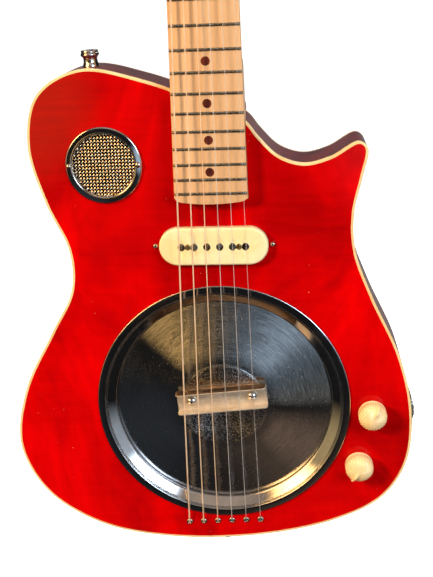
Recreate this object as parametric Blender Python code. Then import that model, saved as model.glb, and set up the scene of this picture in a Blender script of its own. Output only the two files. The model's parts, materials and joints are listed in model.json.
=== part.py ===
"""Resonator guitar: a semi-hollow cutaway body with a spun metal resonator, a bolt-on maple neck
and open-gear tuners, three to a plate.

Metres. +Z runs up the neck, +X points to the treble side and the face looks along -Y. The origin
is where a hanger grips the neck: on the centreline, at the nut, in the plane of the body's face.
Body pieces hang from an empty at the last fret, and headstock pieces from one behind the nut.
"""

import math

import bmesh
import bpy
from mathutils import Matrix, Vector

MM = 0.001
GAP = 0.3 * MM  # left between pieces that touch

# Scale, neck and strings
SCALE_LENGTH = 647.7 * MM
FRET_COUNT = 22
STRING_COUNT = 6
BOARD_TOP = -9.5 * MM
BOARD_BOTTOM = -3.8 * MM
NECK_TOP = BOARD_BOTTOM + GAP
HALF_BOARD_AT_NUT = 21.0 * MM
BOARD_TAPER = 0.01513  # half width gained per unit of length
BOARD_OVERHANG = 8.5 * MM
FRET_TOP = -10.6 * MM
NUT_TOP = -11.2 * MM
NUT_THICKNESS = 4.8 * MM
NECK_BACK_AT_NUT = 11.5 * MM
NECK_BACK_AT_HEEL = 13.3 * MM
HEEL_BACK = 16.0 * MM
STRING_HALF_SPREAD_AT_NUT = 17.0 * MM
STRING_HALF_SPREAD_AT_BRIDGE = 28.5 * MM
STRING_HALF_SPREAD_AT_FERRULES = 31.0 * MM
STRING_DIAMETERS = [0.25 * MM, 0.33 * MM, 0.43 * MM, 0.66 * MM, 0.91 * MM, 1.17 * MM]

# Body
BODY_DEPTH = 48.0 * MM
PLATE_THICKNESS = 3.5 * MM
BINDING_WIDTH = 2.0 * MM
RESONATOR_CENTRE = (2.4 * MM, -182.5 * MM)
PORT_CENTRE = (-82.6 * MM, 21.8 * MM)
PICKUP_Z = -43.4 * MM
PICKUP_SCREW_X = 46.4 * MM
FERRULE_Z = -293.6 * MM
FERRULE_SLOPE = 0.045
KNOB_PLACES = {"volume": (125.4 * MM, -189.8 * MM), "tone": (115.0 * MM, -237.3 * MM)}
KNOB_TURNS = {"volume": math.radians(25), "tone": math.radians(-147)}
NECK_BOLT_PLACES = [(x * MM, z * MM) for x in (-19, 19) for z in (12, 52)]
BRIDGE_CENTRE = (2.0 * MM, -173.5 * MM)
BRIDGE_TILT = math.radians(5.3)
BRIDGE_TOP = -13.6 * MM
BRIDGE_WIDTH = 18.4 * MM
BRIDGE_HEIGHT = 9.5 * MM
BRIDGE_WALL = 1.6 * MM
BRIDGE_SCREW_X = 25.2 * MM
STRAP_PLACES = {"upper": (-91.0 * MM, 94.6 * MM, 93.0), "lower": (0.0, -311.2 * MM, -90.0)}
JACK_Z = -199.0 * MM
JACK_X = 157.6 * MM

# Headstock and tuners
HEAD_TILT = math.radians(10)
HEAD_THICKNESS = 14.0 * MM
POST_X = 24.0 * MM
POST_PLACES = [45.0 * MM, 81.0 * MM, 117.0 * MM]
POST_RADIUS = 3.0 * MM
WHEEL_TEETH = 15
WHEEL_PITCH_RADIUS = 5.625 * MM
WORM_PITCH_RADIUS = 2.5 * MM
TOOTH_REACH = 0.58 * MM  # above the pitch line
TOOTH_ROOT = 0.76 * MM  # below the pitch line
GEAR_Y = 18.6 * MM
WORM_LENGTH = 7.0 * MM

# Clockwise from the neck, seen from the front, in millimetres from the last fret's middle
BODY_KNOTS = [
    (0, 66.5), (27, 53.5), (37, 41.2), (52, 26.3), (71, 20), (91, 24.5), (112.5, 35.6),
    (119.2, 30), (115.4, 8.5), (109.3, -20), (110.6, -50), (124, -88), (147.2, -140.5),
    (157.8, -191), (154.2, -237), (134.4, -270), (96, -292), (35, -307.5), (-45, -310.8),
    (-108, -298.2), (-153.6, -266.6), (-173.8, -221), (-164, -168), (-136, -115.5),
    (-117.2, -80), (-116.2, -46), (-130.8, -8.8), (-141, 38), (-130.5, 76.5), (-96, 94.6),
    (-50, 86),
]  # fmt: skip
HEAD_KNOTS = [
    (21, -0.5), (22.5, 7), (29, 18), (36.5, 28), (38.5, 42), (38, 100), (36.5, 148),
    (31, 166), (17, 174), (0, 176),
]  # fmt: skip


def mm(*values):
    return tuple(value * MM for value in values)


def fret_z(number):
    """Height of a fret below the nut."""
    return -SCALE_LENGTH * (1 - 2 ** (-number / 12))


def half_board(z):
    return HALF_BOARD_AT_NUT - BOARD_TAPER * z


BODY_Z = fret_z(FRET_COUNT)


# Outlines: lists of (x, z) points

def smooth_loop(knots, steps):
    """Centripetal Catmull-Rom curve through a closed list of knots."""
    knots = [Vector(knot) for knot in knots]
    count = len(knots)
    points = []
    for i in range(count):
        four = [knots[(i + j) % count] for j in (-1, 0, 1, 2)]
        times = [0.0]
        for first, second in zip(four, four[1:]):
            times.append(times[-1] + math.sqrt((second - first).length))
        for step in range(steps):
            u = times[1] + (times[2] - times[1]) * step / steps
            level = [
                four[j].lerp(four[j + 1], (u - times[j]) / (times[j + 1] - times[j]))
                for j in range(3)
            ]
            pair = [
                level[j].lerp(level[j + 1], (u - times[j]) / (times[j + 2] - times[j]))
                for j in range(2)
            ]
            point = pair[0].lerp(pair[1], (u - times[1]) / (times[2] - times[1]))
            points.append(tuple(point))
    return points


def inset(loop, distance):
    """The loop moved inwards by a distance, point by point along its normal."""
    points = [Vector(point) for point in loop]
    area = sum(a.cross(b) for a, b in zip(points, points[1:] + points[:1]))
    side = 1 if area > 0 else -1
    moved = []
    for i, point in enumerate(points):
        along = (points[(i + 1) % len(points)] - points[i - 1]).normalized()
        moved.append((point.x - side * along.y * distance, point.y + side * along.x * distance))
    return moved


def capsule(start, end, radius, steps=8):
    """Outline of a stadium whose half circles are centred on two points."""
    start, end = Vector(start), Vector(end)
    aim = math.atan2(end.y - start.y, end.x - start.x)
    points = []
    for centre, turn in ((end, aim - math.pi / 2), (start, aim + math.pi / 2)):
        for step in range(steps + 1):
            angle = turn + math.pi * step / steps
            points.append((centre.x + radius * math.cos(angle), centre.y + radius * math.sin(angle)))
    return points


def box(x, z, half_x, half_z):
    return [(x + half_x, z + half_z), (x - half_x, z + half_z), (x - half_x, z - half_z),
            (x + half_x, z - half_z)]


def rounded_box(half_x, half_z, radius, centre=(0.0, 0.0), steps=3):
    points = []
    for quarter, (sign_x, sign_z) in enumerate(((1, 1), (-1, 1), (-1, -1), (1, -1))):
        for step in range(steps + 1):
            angle = math.pi / 2 * (quarter + step / steps)
            points.append((
                centre[0] + sign_x * (half_x - radius) + radius * math.cos(angle),
                centre[1] + sign_z * (half_z - radius) + radius * math.sin(angle),
            ))
    return points


# Solids: each function returns a bmesh of one closed body

def loft(loops, ring=False):
    """Skin a list of loops of 3-D points. A ring joins the last loop to the first."""
    shape = bmesh.new()
    rows = [[shape.verts.new(point) for point in loop] for loop in loops]
    pairs = list(zip(rows, rows[1:]))
    if ring:
        pairs.append((rows[-1], rows[0]))
    else:
        shape.faces.new(rows[0])
        shape.faces.new(rows[-1])
    for first, second in pairs:
        for i in range(len(first)):
            shape.faces.new((first[i - 1], first[i], second[i], second[i - 1]))
    bmesh.ops.recalc_face_normals(shape, faces=shape.faces)
    return shape


def prism(outline, front, back):
    return loft([[(x, y, z) for x, z in outline] for y in (front, back)])


def band(outer, inner, front, back):
    """A closed strip between two outlines."""
    corners = ((outer, front), (outer, back), (inner, back), (inner, front))
    return loft([[(x, y, z) for x, z in outline] for outline, y in corners], ring=True)


def turned(profile, steps, ring=False, centre=(0.0, 0.0)):
    """Turn (radius, y) points about the Y direction."""
    angles = [2 * math.pi * step / steps for step in range(steps)]
    loops = [
        [(centre[0] + radius * math.cos(a), y, centre[1] + radius * math.sin(a)) for a in angles]
        for radius, y in profile
    ]
    return loft(loops, ring)


def hole(radius, front, back, centre, steps=12):
    return turned([(radius, front), (radius, back)], steps, centre=centre)


def moved(shape, matrix):
    bmesh.ops.transform(shape, matrix=matrix, verts=shape.verts)
    return shape


def together(shapes):
    """Several separate bodies in one bmesh, for use as one Boolean operand."""
    whole = bmesh.new()
    for shape in shapes:
        piece = bpy.data.meshes.new("piece")
        shape.to_mesh(piece)
        shape.free()
        whole.from_mesh(piece)
        bpy.data.meshes.remove(piece)
    return whole


# Scene objects

def material(name, colour, roughness, metallic=0.0):
    found = bpy.data.materials.get(name)
    if found:
        return found
    made = bpy.data.materials.new(name)
    made.use_nodes = True
    shader = made.node_tree.nodes["Principled BSDF"]
    shader.inputs["Base Color"].default_value = (*colour, 1.0)
    shader.inputs["Roughness"].default_value = roughness
    shader.inputs["Metallic"].default_value = metallic
    return made


def red_lacquer():
    return material("red_lacquer", (0.55, 0.0, 0.003), 0.12)


def wine_lacquer():
    return material("wine_lacquer", (0.09, 0.008, 0.01), 0.15)


def cream_plastic():
    return material("cream_plastic", (0.93, 0.82, 0.55), 0.3)


def chrome():
    return material("chrome", (0.75, 0.75, 0.76), 0.08, 1.0)


def aluminium():
    return material("aluminium", (0.7, 0.66, 0.6), 0.3, 1.0)


def nickel():
    return material("nickel", (0.66, 0.63, 0.57), 0.25, 1.0)


def maple():
    return material("maple", (0.76, 0.46, 0.2), 0.35)


def black_plastic():
    return material("black_plastic", (0.02, 0.02, 0.02), 0.4)


def empty(name, location, rotation=(0.0, 0.0, 0.0), parent=None):
    made = bpy.data.objects.new(name, None)
    made.location = location
    made.rotation_euler = rotation
    made.parent = parent
    bpy.context.scene.collection.objects.link(made)
    return made


def mesh_from(name, shape):
    mesh = bpy.data.meshes.new(name)
    shape.to_mesh(mesh)
    shape.free()
    return mesh


def piece(name, shape, look, parent=None, location=(0.0, 0.0, 0.0), rotation=(0.0, 0.0, 0.0)):
    """One named node of the guitar."""
    mesh = mesh_from(name, shape)
    mesh.materials.append(look)
    mesh.shade_smooth()
    mesh.set_sharp_from_angle(angle=math.radians(35))
    made = bpy.data.objects.new(name, mesh)
    made.location = location
    made.rotation_euler = rotation
    made.parent = parent
    bpy.context.scene.collection.objects.link(made)
    return made


def boolean(target, operation, shape):
    """Cut or join a shape given in the target's own frame."""
    label = f"{target.name}_{operation.lower()}_{len(target.modifiers) + 1}"
    helper = bpy.data.objects.new(label, mesh_from(label, shape))
    helper.parent = target
    helper.hide_render = True
    helper.display_type = "WIRE"
    bpy.context.scene.collection.objects.link(helper)
    modifier = target.modifiers.new(label, "BOOLEAN")
    modifier.operation = operation
    modifier.object = helper


# Body

def ferrule_place(string):
    x = string_side(string) * STRING_HALF_SPREAD_AT_FERRULES
    return x, FERRULE_Z + FERRULE_SLOPE * x


def pocket_outline(clearance):
    """The neck pocket's plan, or the heel's when the clearance is zero."""
    low, high = -6 * MM, 100 * MM
    wide = half_board(BODY_Z + low) + clearance
    narrow = half_board(BODY_Z + high) + clearance
    return [(-wide, low - clearance), (wide, low - clearance), (narrow, high), (-narrow, high)]


def strap_matrix(side):
    """Places a turned piece, whose axis is +Y, to point out of the body's edge."""
    x, z, angle = STRAP_PLACES[side]
    return Matrix.Translation((x, BODY_DEPTH / 2, z)) @ Matrix.Rotation(
        -math.radians(angle), 4, "Y"
    ) @ Matrix.Rotation(-math.pi / 2, 4, "Z")


def make_body(frame):
    outline = [mm(*point) for point in smooth_loop(BODY_KNOTS, 2)]
    plate_outline = inset(outline, BINDING_WIDTH + GAP)
    binding_inside = inset(outline, BINDING_WIDTH)
    core_front = PLATE_THICKNESS + GAP
    core_back = BODY_DEPTH - PLATE_THICKNESS - GAP
    front, through = -1 * MM, BODY_DEPTH + MM
    ferrules = [ferrule_place(string) for string in range(1, STRING_COUNT + 1)]

    core = piece("body_core", prism(outline, core_front, core_back), wine_lacquer(), frame)
    well = [mm(99.5, -1), mm(99.5, 10), mm(92, 10), mm(92, 50)]
    boolean(core, "DIFFERENCE", together([
        turned(well, 44, centre=RESONATOR_CENTRE),
        hole(40 * MM, front, through, PORT_CENTRE, 24),
        prism(capsule(mm(128, -186), mm(117, -241), 16 * MM), front, through),
        prism(capsule((-38 * MM, PICKUP_Z), (38 * MM, PICKUP_Z), 16.6 * MM), front, 26 * MM),
        prism(pocket_outline(GAP), front, HEEL_BACK + GAP),
        *[hole(2.5 * MM, front, 12 * MM, place, 8) for place in ferrules],
    ]))
    strap_bore = [(1.9 * MM, -20 * MM), (1.9 * MM, 20 * MM)]
    jack_bore = [(5.2 * MM, -22 * MM), (5.2 * MM, 1 * MM)]
    boolean(core, "DIFFERENCE", together([
        prism(capsule(mm(-80, 5), mm(-74, -125), 17 * MM), front, through),
        *[hole(2.4 * MM, 12 * MM, through, place, 8) for place in NECK_BOLT_PLACES],
        *[moved(turned(strap_bore, 8), strap_matrix(side)) for side in STRAP_PLACES],
        moved(turned(jack_bore, 16), jack_matrix()),
    ]))

    top = piece("body_top", prism(plate_outline, 0.0, PLATE_THICKNESS), red_lacquer(), frame)
    boolean(top, "DIFFERENCE", together([
        hole(100 * MM, front, 5 * MM, RESONATOR_CENTRE, 44),
        hole(25.5 * MM, front, 5 * MM, PORT_CENTRE, 24),
        prism(capsule((-27.6 * MM, PICKUP_Z), (27.6 * MM, PICKUP_Z), 15.9 * MM), front, 5 * MM),
        prism(pocket_outline(GAP), front, HEEL_BACK + GAP),
        *[hole(1.9 * MM, front, 5 * MM, (x, PICKUP_Z), 8) for x in (-PICKUP_SCREW_X, PICKUP_SCREW_X)],
        *[hole(4.3 * MM, front, 5 * MM, place) for place in KNOB_PLACES.values()],
        *[hole(2.5 * MM, front, 5 * MM, place, 8) for place in ferrules],
    ]))

    back = piece(
        "body_back", prism(plate_outline, BODY_DEPTH - PLATE_THICKNESS, BODY_DEPTH), wine_lacquer(), frame
    )
    boolean(back, "DIFFERENCE", together([
        prism(capsule(mm(127, -188), mm(118, -239), 14 * MM), 40 * MM, through),
        *[hole(2.4 * MM, 40 * MM, through, place, 8) for place in NECK_BOLT_PLACES],
    ]))

    binding = piece(
        "top_binding", band(outline, binding_inside, 0.0, PLATE_THICKNESS), cream_plastic(), frame
    )
    boolean(binding, "DIFFERENCE", prism(pocket_outline(GAP), front, HEEL_BACK + GAP))
    piece(
        "back_binding",
        band(outline, binding_inside, BODY_DEPTH - PLATE_THICKNESS, BODY_DEPTH),
        cream_plastic(),
        frame,
    )
    piece(
        "control_cover",
        prism(capsule(mm(127, -188), mm(118, -239), 20 * MM), BODY_DEPTH + GAP, BODY_DEPTH + 2.3 * MM),
        black_plastic(),
        frame,
    )


def make_neck_plate(frame):
    """The plate and its four bolts, which clamp the heel into the pocket."""
    face = BODY_DEPTH + GAP
    centre = (0.0, 32 * MM)
    plate = piece(
        "neck_plate", prism(rounded_box(26 * MM, 32 * MM, 4 * MM, centre), face, face + 2.4 * MM),
        chrome(), frame,
    )
    bolt = [mm(2, 3), mm(2, 49.5), mm(4, 49.6), mm(4, 51.4), mm(2.6, 52.8)]
    boolean(plate, "UNION", together(
        [turned(bolt, 8, centre=place) for place in NECK_BOLT_PLACES]
    ))


def make_strap_buttons(frame):
    """Tapered buttons on screws: one on the upper shoulder, one at the tail."""
    profile = [
        mm(1.5, -16), mm(1.5, 0.3), mm(6.8, 0.3), mm(6.2, 1.8), mm(4.6, 5), mm(4.9, 8.5),
        mm(7.4, 10.6), mm(7.4, 12), mm(5.8, 13.2),
    ]
    for side in STRAP_PLACES:
        shape = moved(turned(profile, 14), strap_matrix(side))
        piece(f"strap_button_{side}", shape, chrome(), frame)


def jack_matrix():
    """Places a turned piece, whose axis is +Y, to point out of the body's treble edge."""
    return Matrix.Translation((JACK_X, BODY_DEPTH / 2, JACK_Z)) @ Matrix.Rotation(
        -math.pi / 2, 4, "Z"
    )


def make_jack(frame):
    """Output socket on a square plate let into the lower bout's edge."""
    ring = [mm(3.3, 3.2), mm(4.6, 3.2), mm(4.6, -20), mm(3.3, -20)]
    piece("output_jack", moved(turned(ring, 16, ring=True), jack_matrix()), nickel(), frame)
    plate = piece(
        "jack_plate",
        moved(prism(rounded_box(15 * MM, 15 * MM, 3 * MM), 0.4 * MM, 2.0 * MM), jack_matrix()),
        chrome(),
        frame,
    )
    bore = turned([mm(5.0, -3), mm(5.0, 5)], 16)
    boolean(plate, "DIFFERENCE", moved(bore, jack_matrix()))


# Sound port, resonator and bridge

def make_sound_port(frame):
    profile = [
        mm(29.9, -0.3), mm(29.7, -1.3), mm(28.6, -2.2), mm(25.2, -2.6), mm(24, -2.2),
        mm(23.4, -1.0), mm(23.4, 0.2), mm(24.6, 0.2), mm(24.8, -0.3),
    ]
    x, z = PORT_CENTRE
    piece("soundport_ring", turned(profile, 24, ring=True), chrome(), frame, (x, 0, z))
    screen = [mm(25.1, 0.5), mm(25.1, 1.5)]
    piece("soundport_screen", turned(screen, 24), nickel(), frame, (x, 0, z))


def make_resonator(frame):
    """A flanged rim screwed to the face, and the spun cone that hangs under it on its ledge."""
    x, z = RESONATOR_CENTRE
    rim = [
        mm(105.3, -0.3), mm(105.3, -1.3), mm(98.6, -1.3), mm(98.1, -0.6), mm(90.4, 3.6),
        mm(89.8, 5.2), mm(91, 5.2), mm(98.6, 0.2), mm(99.2, -0.3),
    ]
    piece("resonator_rim", turned(rim, 44, ring=True), chrome(), frame, (x, 0, z))
    cone = [
        mm(34.6, -0.4), mm(35.8, 0.0), mm(36.8, 1.0), mm(90, 8.7), mm(97.5, 8.7), mm(97.5, 9.7),
        mm(89.8, 9.7), mm(36, 2.0), mm(34, 0.6),
    ]
    piece("resonator_cone", turned(cone, 44), chrome(), frame, (x, 0, z))


def make_bridge(frame):
    """An aluminium channel on a wooden biscuit, held by two round-head screws."""
    centre = empty(
        "bridge_frame", (BRIDGE_CENTRE[0], 0, BRIDGE_CENTRE[1]), (0, -BRIDGE_TILT, 0), frame
    )
    floor = BRIDGE_TOP + BRIDGE_HEIGHT
    piece(
        "bridge_biscuit", prism(rounded_box(32 * MM, 7 * MM, 6 * MM), floor + GAP, -0.7 * MM),
        maple(), centre,
    )
    half_length, half_width, wall = 37.2 * MM, BRIDGE_WIDTH / 2, BRIDGE_WALL
    section = [
        (BRIDGE_TOP, half_width), (floor, half_width), (floor, -half_width),
        (BRIDGE_TOP, -half_width), (BRIDGE_TOP, wall - half_width),
        (floor - wall, wall - half_width), (floor - wall, half_width - wall),
        (BRIDGE_TOP, half_width - wall),
    ]
    channel = loft([[(x, y, z) for y, z in section] for x in (-half_length, half_length)])
    piece("bridge_channel", channel, aluminium(), centre)
    seat = floor - wall - GAP
    head = [
        (4.0 * MM, seat), (4.0 * MM, seat - 0.6 * MM), (3.5 * MM, seat - 1.9 * MM),
        (2.3 * MM, seat - 2.8 * MM), (0.8 * MM, seat - 3.2 * MM),
    ]
    for side, sign in (("bass", -1), ("treble", 1)):
        piece(f"bridge_screw_{side}", turned(head, 14), nickel(), centre, (sign * BRIDGE_SCREW_X, 0, 0))


# Pickup, knobs and pots

def make_pickup(frame):
    """Covered pickup that rides on two screws and two springs, so its height can be set."""
    group = empty("pickup_frame", (0, 0, PICKUP_Z), parent=frame)
    flat = 27.6 * MM
    cover_radius = 15.5 * MM
    loops = []
    for radius, y in (
        (cover_radius, 9.7 * MM), (cover_radius, -4.4 * MM), (cover_radius - 0.6 * MM, -5.5 * MM),
        (cover_radius - 1.8 * MM, -6.0 * MM),
    ):
        loops.append([(x, y, z) for x, z in capsule((-flat, 0), (flat, 0), radius)])
    cover = piece("pickup_cover", loft(loops), cream_plastic(), group)
    boolean(cover, "DIFFERENCE", prism(
        capsule((-flat, 0), (flat, 0), cover_radius - 1.5 * MM), -4.5 * MM, 10 * MM
    ))
    poles = [(i - 2.5) * 10.05 * MM for i in range(STRING_COUNT)]
    boolean(cover, "DIFFERENCE", together(
        [hole(2.8 * MM, -8 * MM, -3 * MM, (x, 0), 10) for x in poles]
    ))
    bobbin = piece(
        "pickup_bobbin", prism(rounded_box(52 * MM, 10 * MM, 3 * MM), 10 * MM, 12 * MM),
        black_plastic(), group,
    )
    coil = prism(capsule((-flat, 0), (flat, 0), 10 * MM, 5), -4.0 * MM, 11 * MM)
    boolean(bobbin, "UNION", coil)
    boolean(bobbin, "UNION", together(
        [hole(2.5 * MM, -6.2 * MM, 14 * MM, (x, 0), 8) for x in poles]
    ))
    boolean(bobbin, "DIFFERENCE", together(
        [hole(1.9 * MM, 8 * MM, 15 * MM, (x, 0), 10) for x in (-PICKUP_SCREW_X, PICKUP_SCREW_X)]
    ))
    screw = [
        mm(1.5, 20), mm(1.5, -0.3), mm(2.3, -0.3), mm(2.3, -0.8), mm(1.7, -1.6), mm(0.7, -1.9),
    ]
    for side, x in (("bass", -PICKUP_SCREW_X), ("treble", PICKUP_SCREW_X)):
        piece(f"pickup_screw_{side}", turned(screw, 10), nickel(), group, (x, 0, 0))
        make_spring(f"pickup_spring_{side}", group, x)


def make_spring(name, parent, x):
    """Compression spring between the top's underside and the pickup's lug."""
    turns, steps, radius, wire = 3.5, 8, 2.6 * MM, 0.35 * MM
    low, high = PLATE_THICKNESS + GAP + wire, 10 * MM - GAP - wire
    count = int(turns * steps)
    curve = bpy.data.curves.new(name, "CURVE")
    curve.dimensions = "3D"
    curve.bevel_depth = wire
    curve.bevel_resolution = 0
    curve.use_fill_caps = True
    spline = curve.splines.new("POLY")
    spline.points.add(count)
    for i, point in enumerate(spline.points):
        angle = 2 * math.pi * i / steps
        y = low + (high - low) * i / count
        point.co = (radius * math.cos(angle), y, radius * math.sin(angle), 1)
    curve.materials.append(nickel())
    made = bpy.data.objects.new(name, curve)
    made.location = (x, 0, 0)
    made.parent = parent
    bpy.context.scene.collection.objects.link(made)


def make_controls(frame):
    """Two pots under the top, and two bell knobs, each fixed on the shaft that turns in its pot."""
    pot = [
        mm(3.4, -0.4), mm(4.0, -0.4), mm(4.0, 3.9), mm(11.5, 3.9), mm(12, 4.4), mm(12, 12.4),
        mm(3.4, 12.4),
    ]
    knob = [
        mm(3.0, 12), mm(3.0, -1.5), mm(9.6, -1.5), mm(9.8, -0.8), mm(11.7, -0.8), mm(11.7, -2.0),
        mm(10.6, -3.4), mm(9.9, -6.5), mm(8.2, -9.8), mm(4.6, -12.6), mm(1.6, -14),
    ]
    for label, (x, z) in KNOB_PLACES.items():
        piece(f"{label}_pot", turned(pot, 14, ring=True), nickel(), frame, (x, 0, z))
        turned_knob = piece(
            f"{label}_knob", turned(knob, 16), cream_plastic(), frame, (x, 0, z),
            (0, KNOB_TURNS[label], 0),
        )
        pointer = loft([
            [mm(-1.2, -2.4, 8), mm(1.2, -2.4, 8), mm(0.9, -12, 2), mm(-0.9, -12, 2)],
            [mm(-1.0, -3.2, 10.9), mm(1.0, -3.2, 10.9), mm(0.5, -13.3, 3), mm(-0.5, -13.3, 3)],
        ])
        boolean(turned_knob, "UNION", pointer)


# Neck

def neck_section(z, back):
    """Flat under the fingerboard and a half ellipse behind."""
    half = half_board(z)
    steps = 10
    return [
        (-half * math.cos(math.pi * i / steps),
         NECK_TOP + (back - NECK_TOP) * math.sin(math.pi * i / steps) ** 0.8, z)
        for i in range(steps + 1)
    ]


def heel_section(z, back):
    """A rectangle just inside the shaft's flat top, so that the two join with a clear overlap."""
    half, top = half_board(z) - 0.1 * MM, NECK_TOP + 0.1 * MM
    return [(-half, top, z), (half, top, z), (half, back, z), (-half, back, z)]


def head_matrix():
    return Matrix.Translation((0, NECK_TOP, NUT_THICKNESS + GAP)) @ Matrix.Rotation(
        -HEAD_TILT, 4, "X"
    )


def make_neck():
    """Maple neck in one piece: shaft, heel block and tilted headstock, with the rod's channel."""
    shaft = [
        neck_section(6 * MM, NECK_BACK_AT_NUT), neck_section(-2 * MM, NECK_BACK_AT_NUT),
        neck_section(fret_z(12), NECK_BACK_AT_HEEL), neck_section(-400 * MM, NECK_BACK_AT_HEEL),
    ]
    neck = piece("neck", loft(shaft), maple())
    heel = loft([
        heel_section(BODY_Z - 6 * MM, HEEL_BACK), heel_section(BODY_Z + 88 * MM, HEEL_BACK),
        heel_section(BODY_Z + 96 * MM, NECK_BACK_AT_HEEL - 4 * MM),
    ])
    boolean(neck, "UNION", heel)
    right = [mm(*knot) for knot in HEAD_KNOTS]
    outline = right + [(-x, z) for x, z in reversed(right[:-1])]
    boolean(neck, "UNION", moved(prism(outline, 0, HEAD_THICKNESS), head_matrix()))
    channel = prism(
        [mm(-3.2, -440), mm(3.2, -440), mm(3.2, 26), mm(-3.2, 26)], -6 * MM, 6.4 * MM
    )
    boolean(neck, "DIFFERENCE", together([
        channel,
        *[moved(hole(4.0 * MM, -2 * MM, 16 * MM, (side * POST_X, z), 12), head_matrix())
          for side in (-1, 1) for z in POST_PLACES],
        *[hole(2.3 * MM, 2.4 * MM, 20 * MM, (x, BODY_Z + z), 8) for x, z in NECK_BOLT_PLACES],
    ]))
    rod = moved(turned([mm(2.6, -436), mm(2.6, 22)], 8), Matrix.Rotation(math.pi / 2, 4, "X"))
    piece("truss_rod", rod, nickel(), location=(0, 3.2 * MM, 0))


def make_fingerboard():
    """Maple board with a rounded end and its frets pressed in."""
    end_z = BODY_Z - BOARD_OVERHANG
    half_end = half_board(end_z)
    bulge, corner = 2.4 * MM, 5 * MM
    outline = [(-HALF_BOARD_AT_NUT, -GAP)]
    for step in range(9):
        across = -1 + step / 4
        x = across * (half_end - corner * (1 - math.sqrt(1 - (max(abs(across) - 0.75, 0) * 3.6) ** 2)))
        z = end_z + bulge * across ** 2 + corner * max(abs(across) - 0.75, 0) * 2
        outline.append((x, z))
    outline.append((HALF_BOARD_AT_NUT, -GAP))
    board = piece("fingerboard", prism(outline, BOARD_TOP, BOARD_BOTTOM), maple())
    frets = []
    for number in range(1, FRET_COUNT + 1):
        z = fret_z(number)
        half = half_board(z) - 0.5 * MM
        section = [
            (FRET_TOP + 1.6 * MM, z - 1.2 * MM), (FRET_TOP, z - 0.6 * MM),
            (FRET_TOP, z + 0.6 * MM), (FRET_TOP + 1.6 * MM, z + 1.2 * MM),
        ]
        frets.append(loft([[(x, y, depth) for y, depth in section] for x in (-half, half)]))
    boolean(board, "UNION", together(frets))
    nut = prism(
        [(-HALF_BOARD_AT_NUT, 0), (HALF_BOARD_AT_NUT, 0), (HALF_BOARD_AT_NUT, NUT_THICKNESS),
         (-HALF_BOARD_AT_NUT, NUT_THICKNESS)], NUT_TOP, BOARD_BOTTOM,
    )
    piece("nut", nut, cream_plastic())


# Headstock: tuners and the rod's cover

def worm_radius(angle, x):
    """Right-hand thread: one crest per pitch, half a pitch to each side of the wheel's tooth."""
    pitch = 2 * math.pi * WHEEL_PITCH_RADIUS / WHEEL_TEETH
    phase = (x / pitch - angle / (2 * math.pi) + 0.25) % 1.0
    crest = max(0.0, min(1.0, (0.2 - abs(phase - 0.5)) / 0.1))
    root = WORM_PITCH_RADIUS - TOOTH_ROOT
    return root + crest * (TOOTH_REACH + TOOTH_ROOT)


def key_loops(side):
    """Rings of a tuner key along X: stub, worm, shaft, collar and flat oval button."""
    steps, worm_rows = 8, 15
    shaft = 1.6 * MM
    rows = [(-7.4 * MM, shaft, shaft), (-4 * MM, shaft, shaft)]
    rows += [(WORM_LENGTH * (i / worm_rows - 0.5), None, None) for i in range(worm_rows + 1)]
    rows += [
        (x * MM, y * MM, z * MM) for x, y, z in (
            (4, 1.6, 1.6), (18, 1.6, 1.6), (18.2, 2.8, 2.8), (20, 2.6, 2.6), (20.6, 2.4, 4.0),
            (22.5, 3.2, 7.4), (26, 3.7, 9), (31, 3.7, 8.6), (34.5, 3.0, 6.6), (36, 1.6, 3.6),
        )
    ]
    loops = []
    for x, half_y, half_z in rows:
        loop = []
        for step in range(steps):
            angle = 2 * math.pi * step / steps
            across, up = math.cos(angle), math.sin(angle)
            if half_y is None:
                radius = worm_radius(angle, side * x)
                loop.append((side * x, radius * across, radius * up))
            else:
                loop.append((side * x, half_y * across, half_z * up))
        loops.append(loop)
    return loops


def wheel_outline():
    """Worm wheel with pointed teeth, one of them facing the worm."""
    tip = WHEEL_PITCH_RADIUS + TOOTH_REACH
    root = WHEEL_PITCH_RADIUS - TOOTH_ROOT
    points = []
    for tooth in range(WHEEL_TEETH):
        middle = -math.pi / 2 + 2 * math.pi * tooth / WHEEL_TEETH
        for turn, radius in ((-0.26, root), (0, tip), (0.26, root)):
            angle = middle + turn * 2 * math.pi / WHEEL_TEETH
            points.append((radius * math.cos(angle), radius * math.sin(angle)))
    return points


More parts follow.
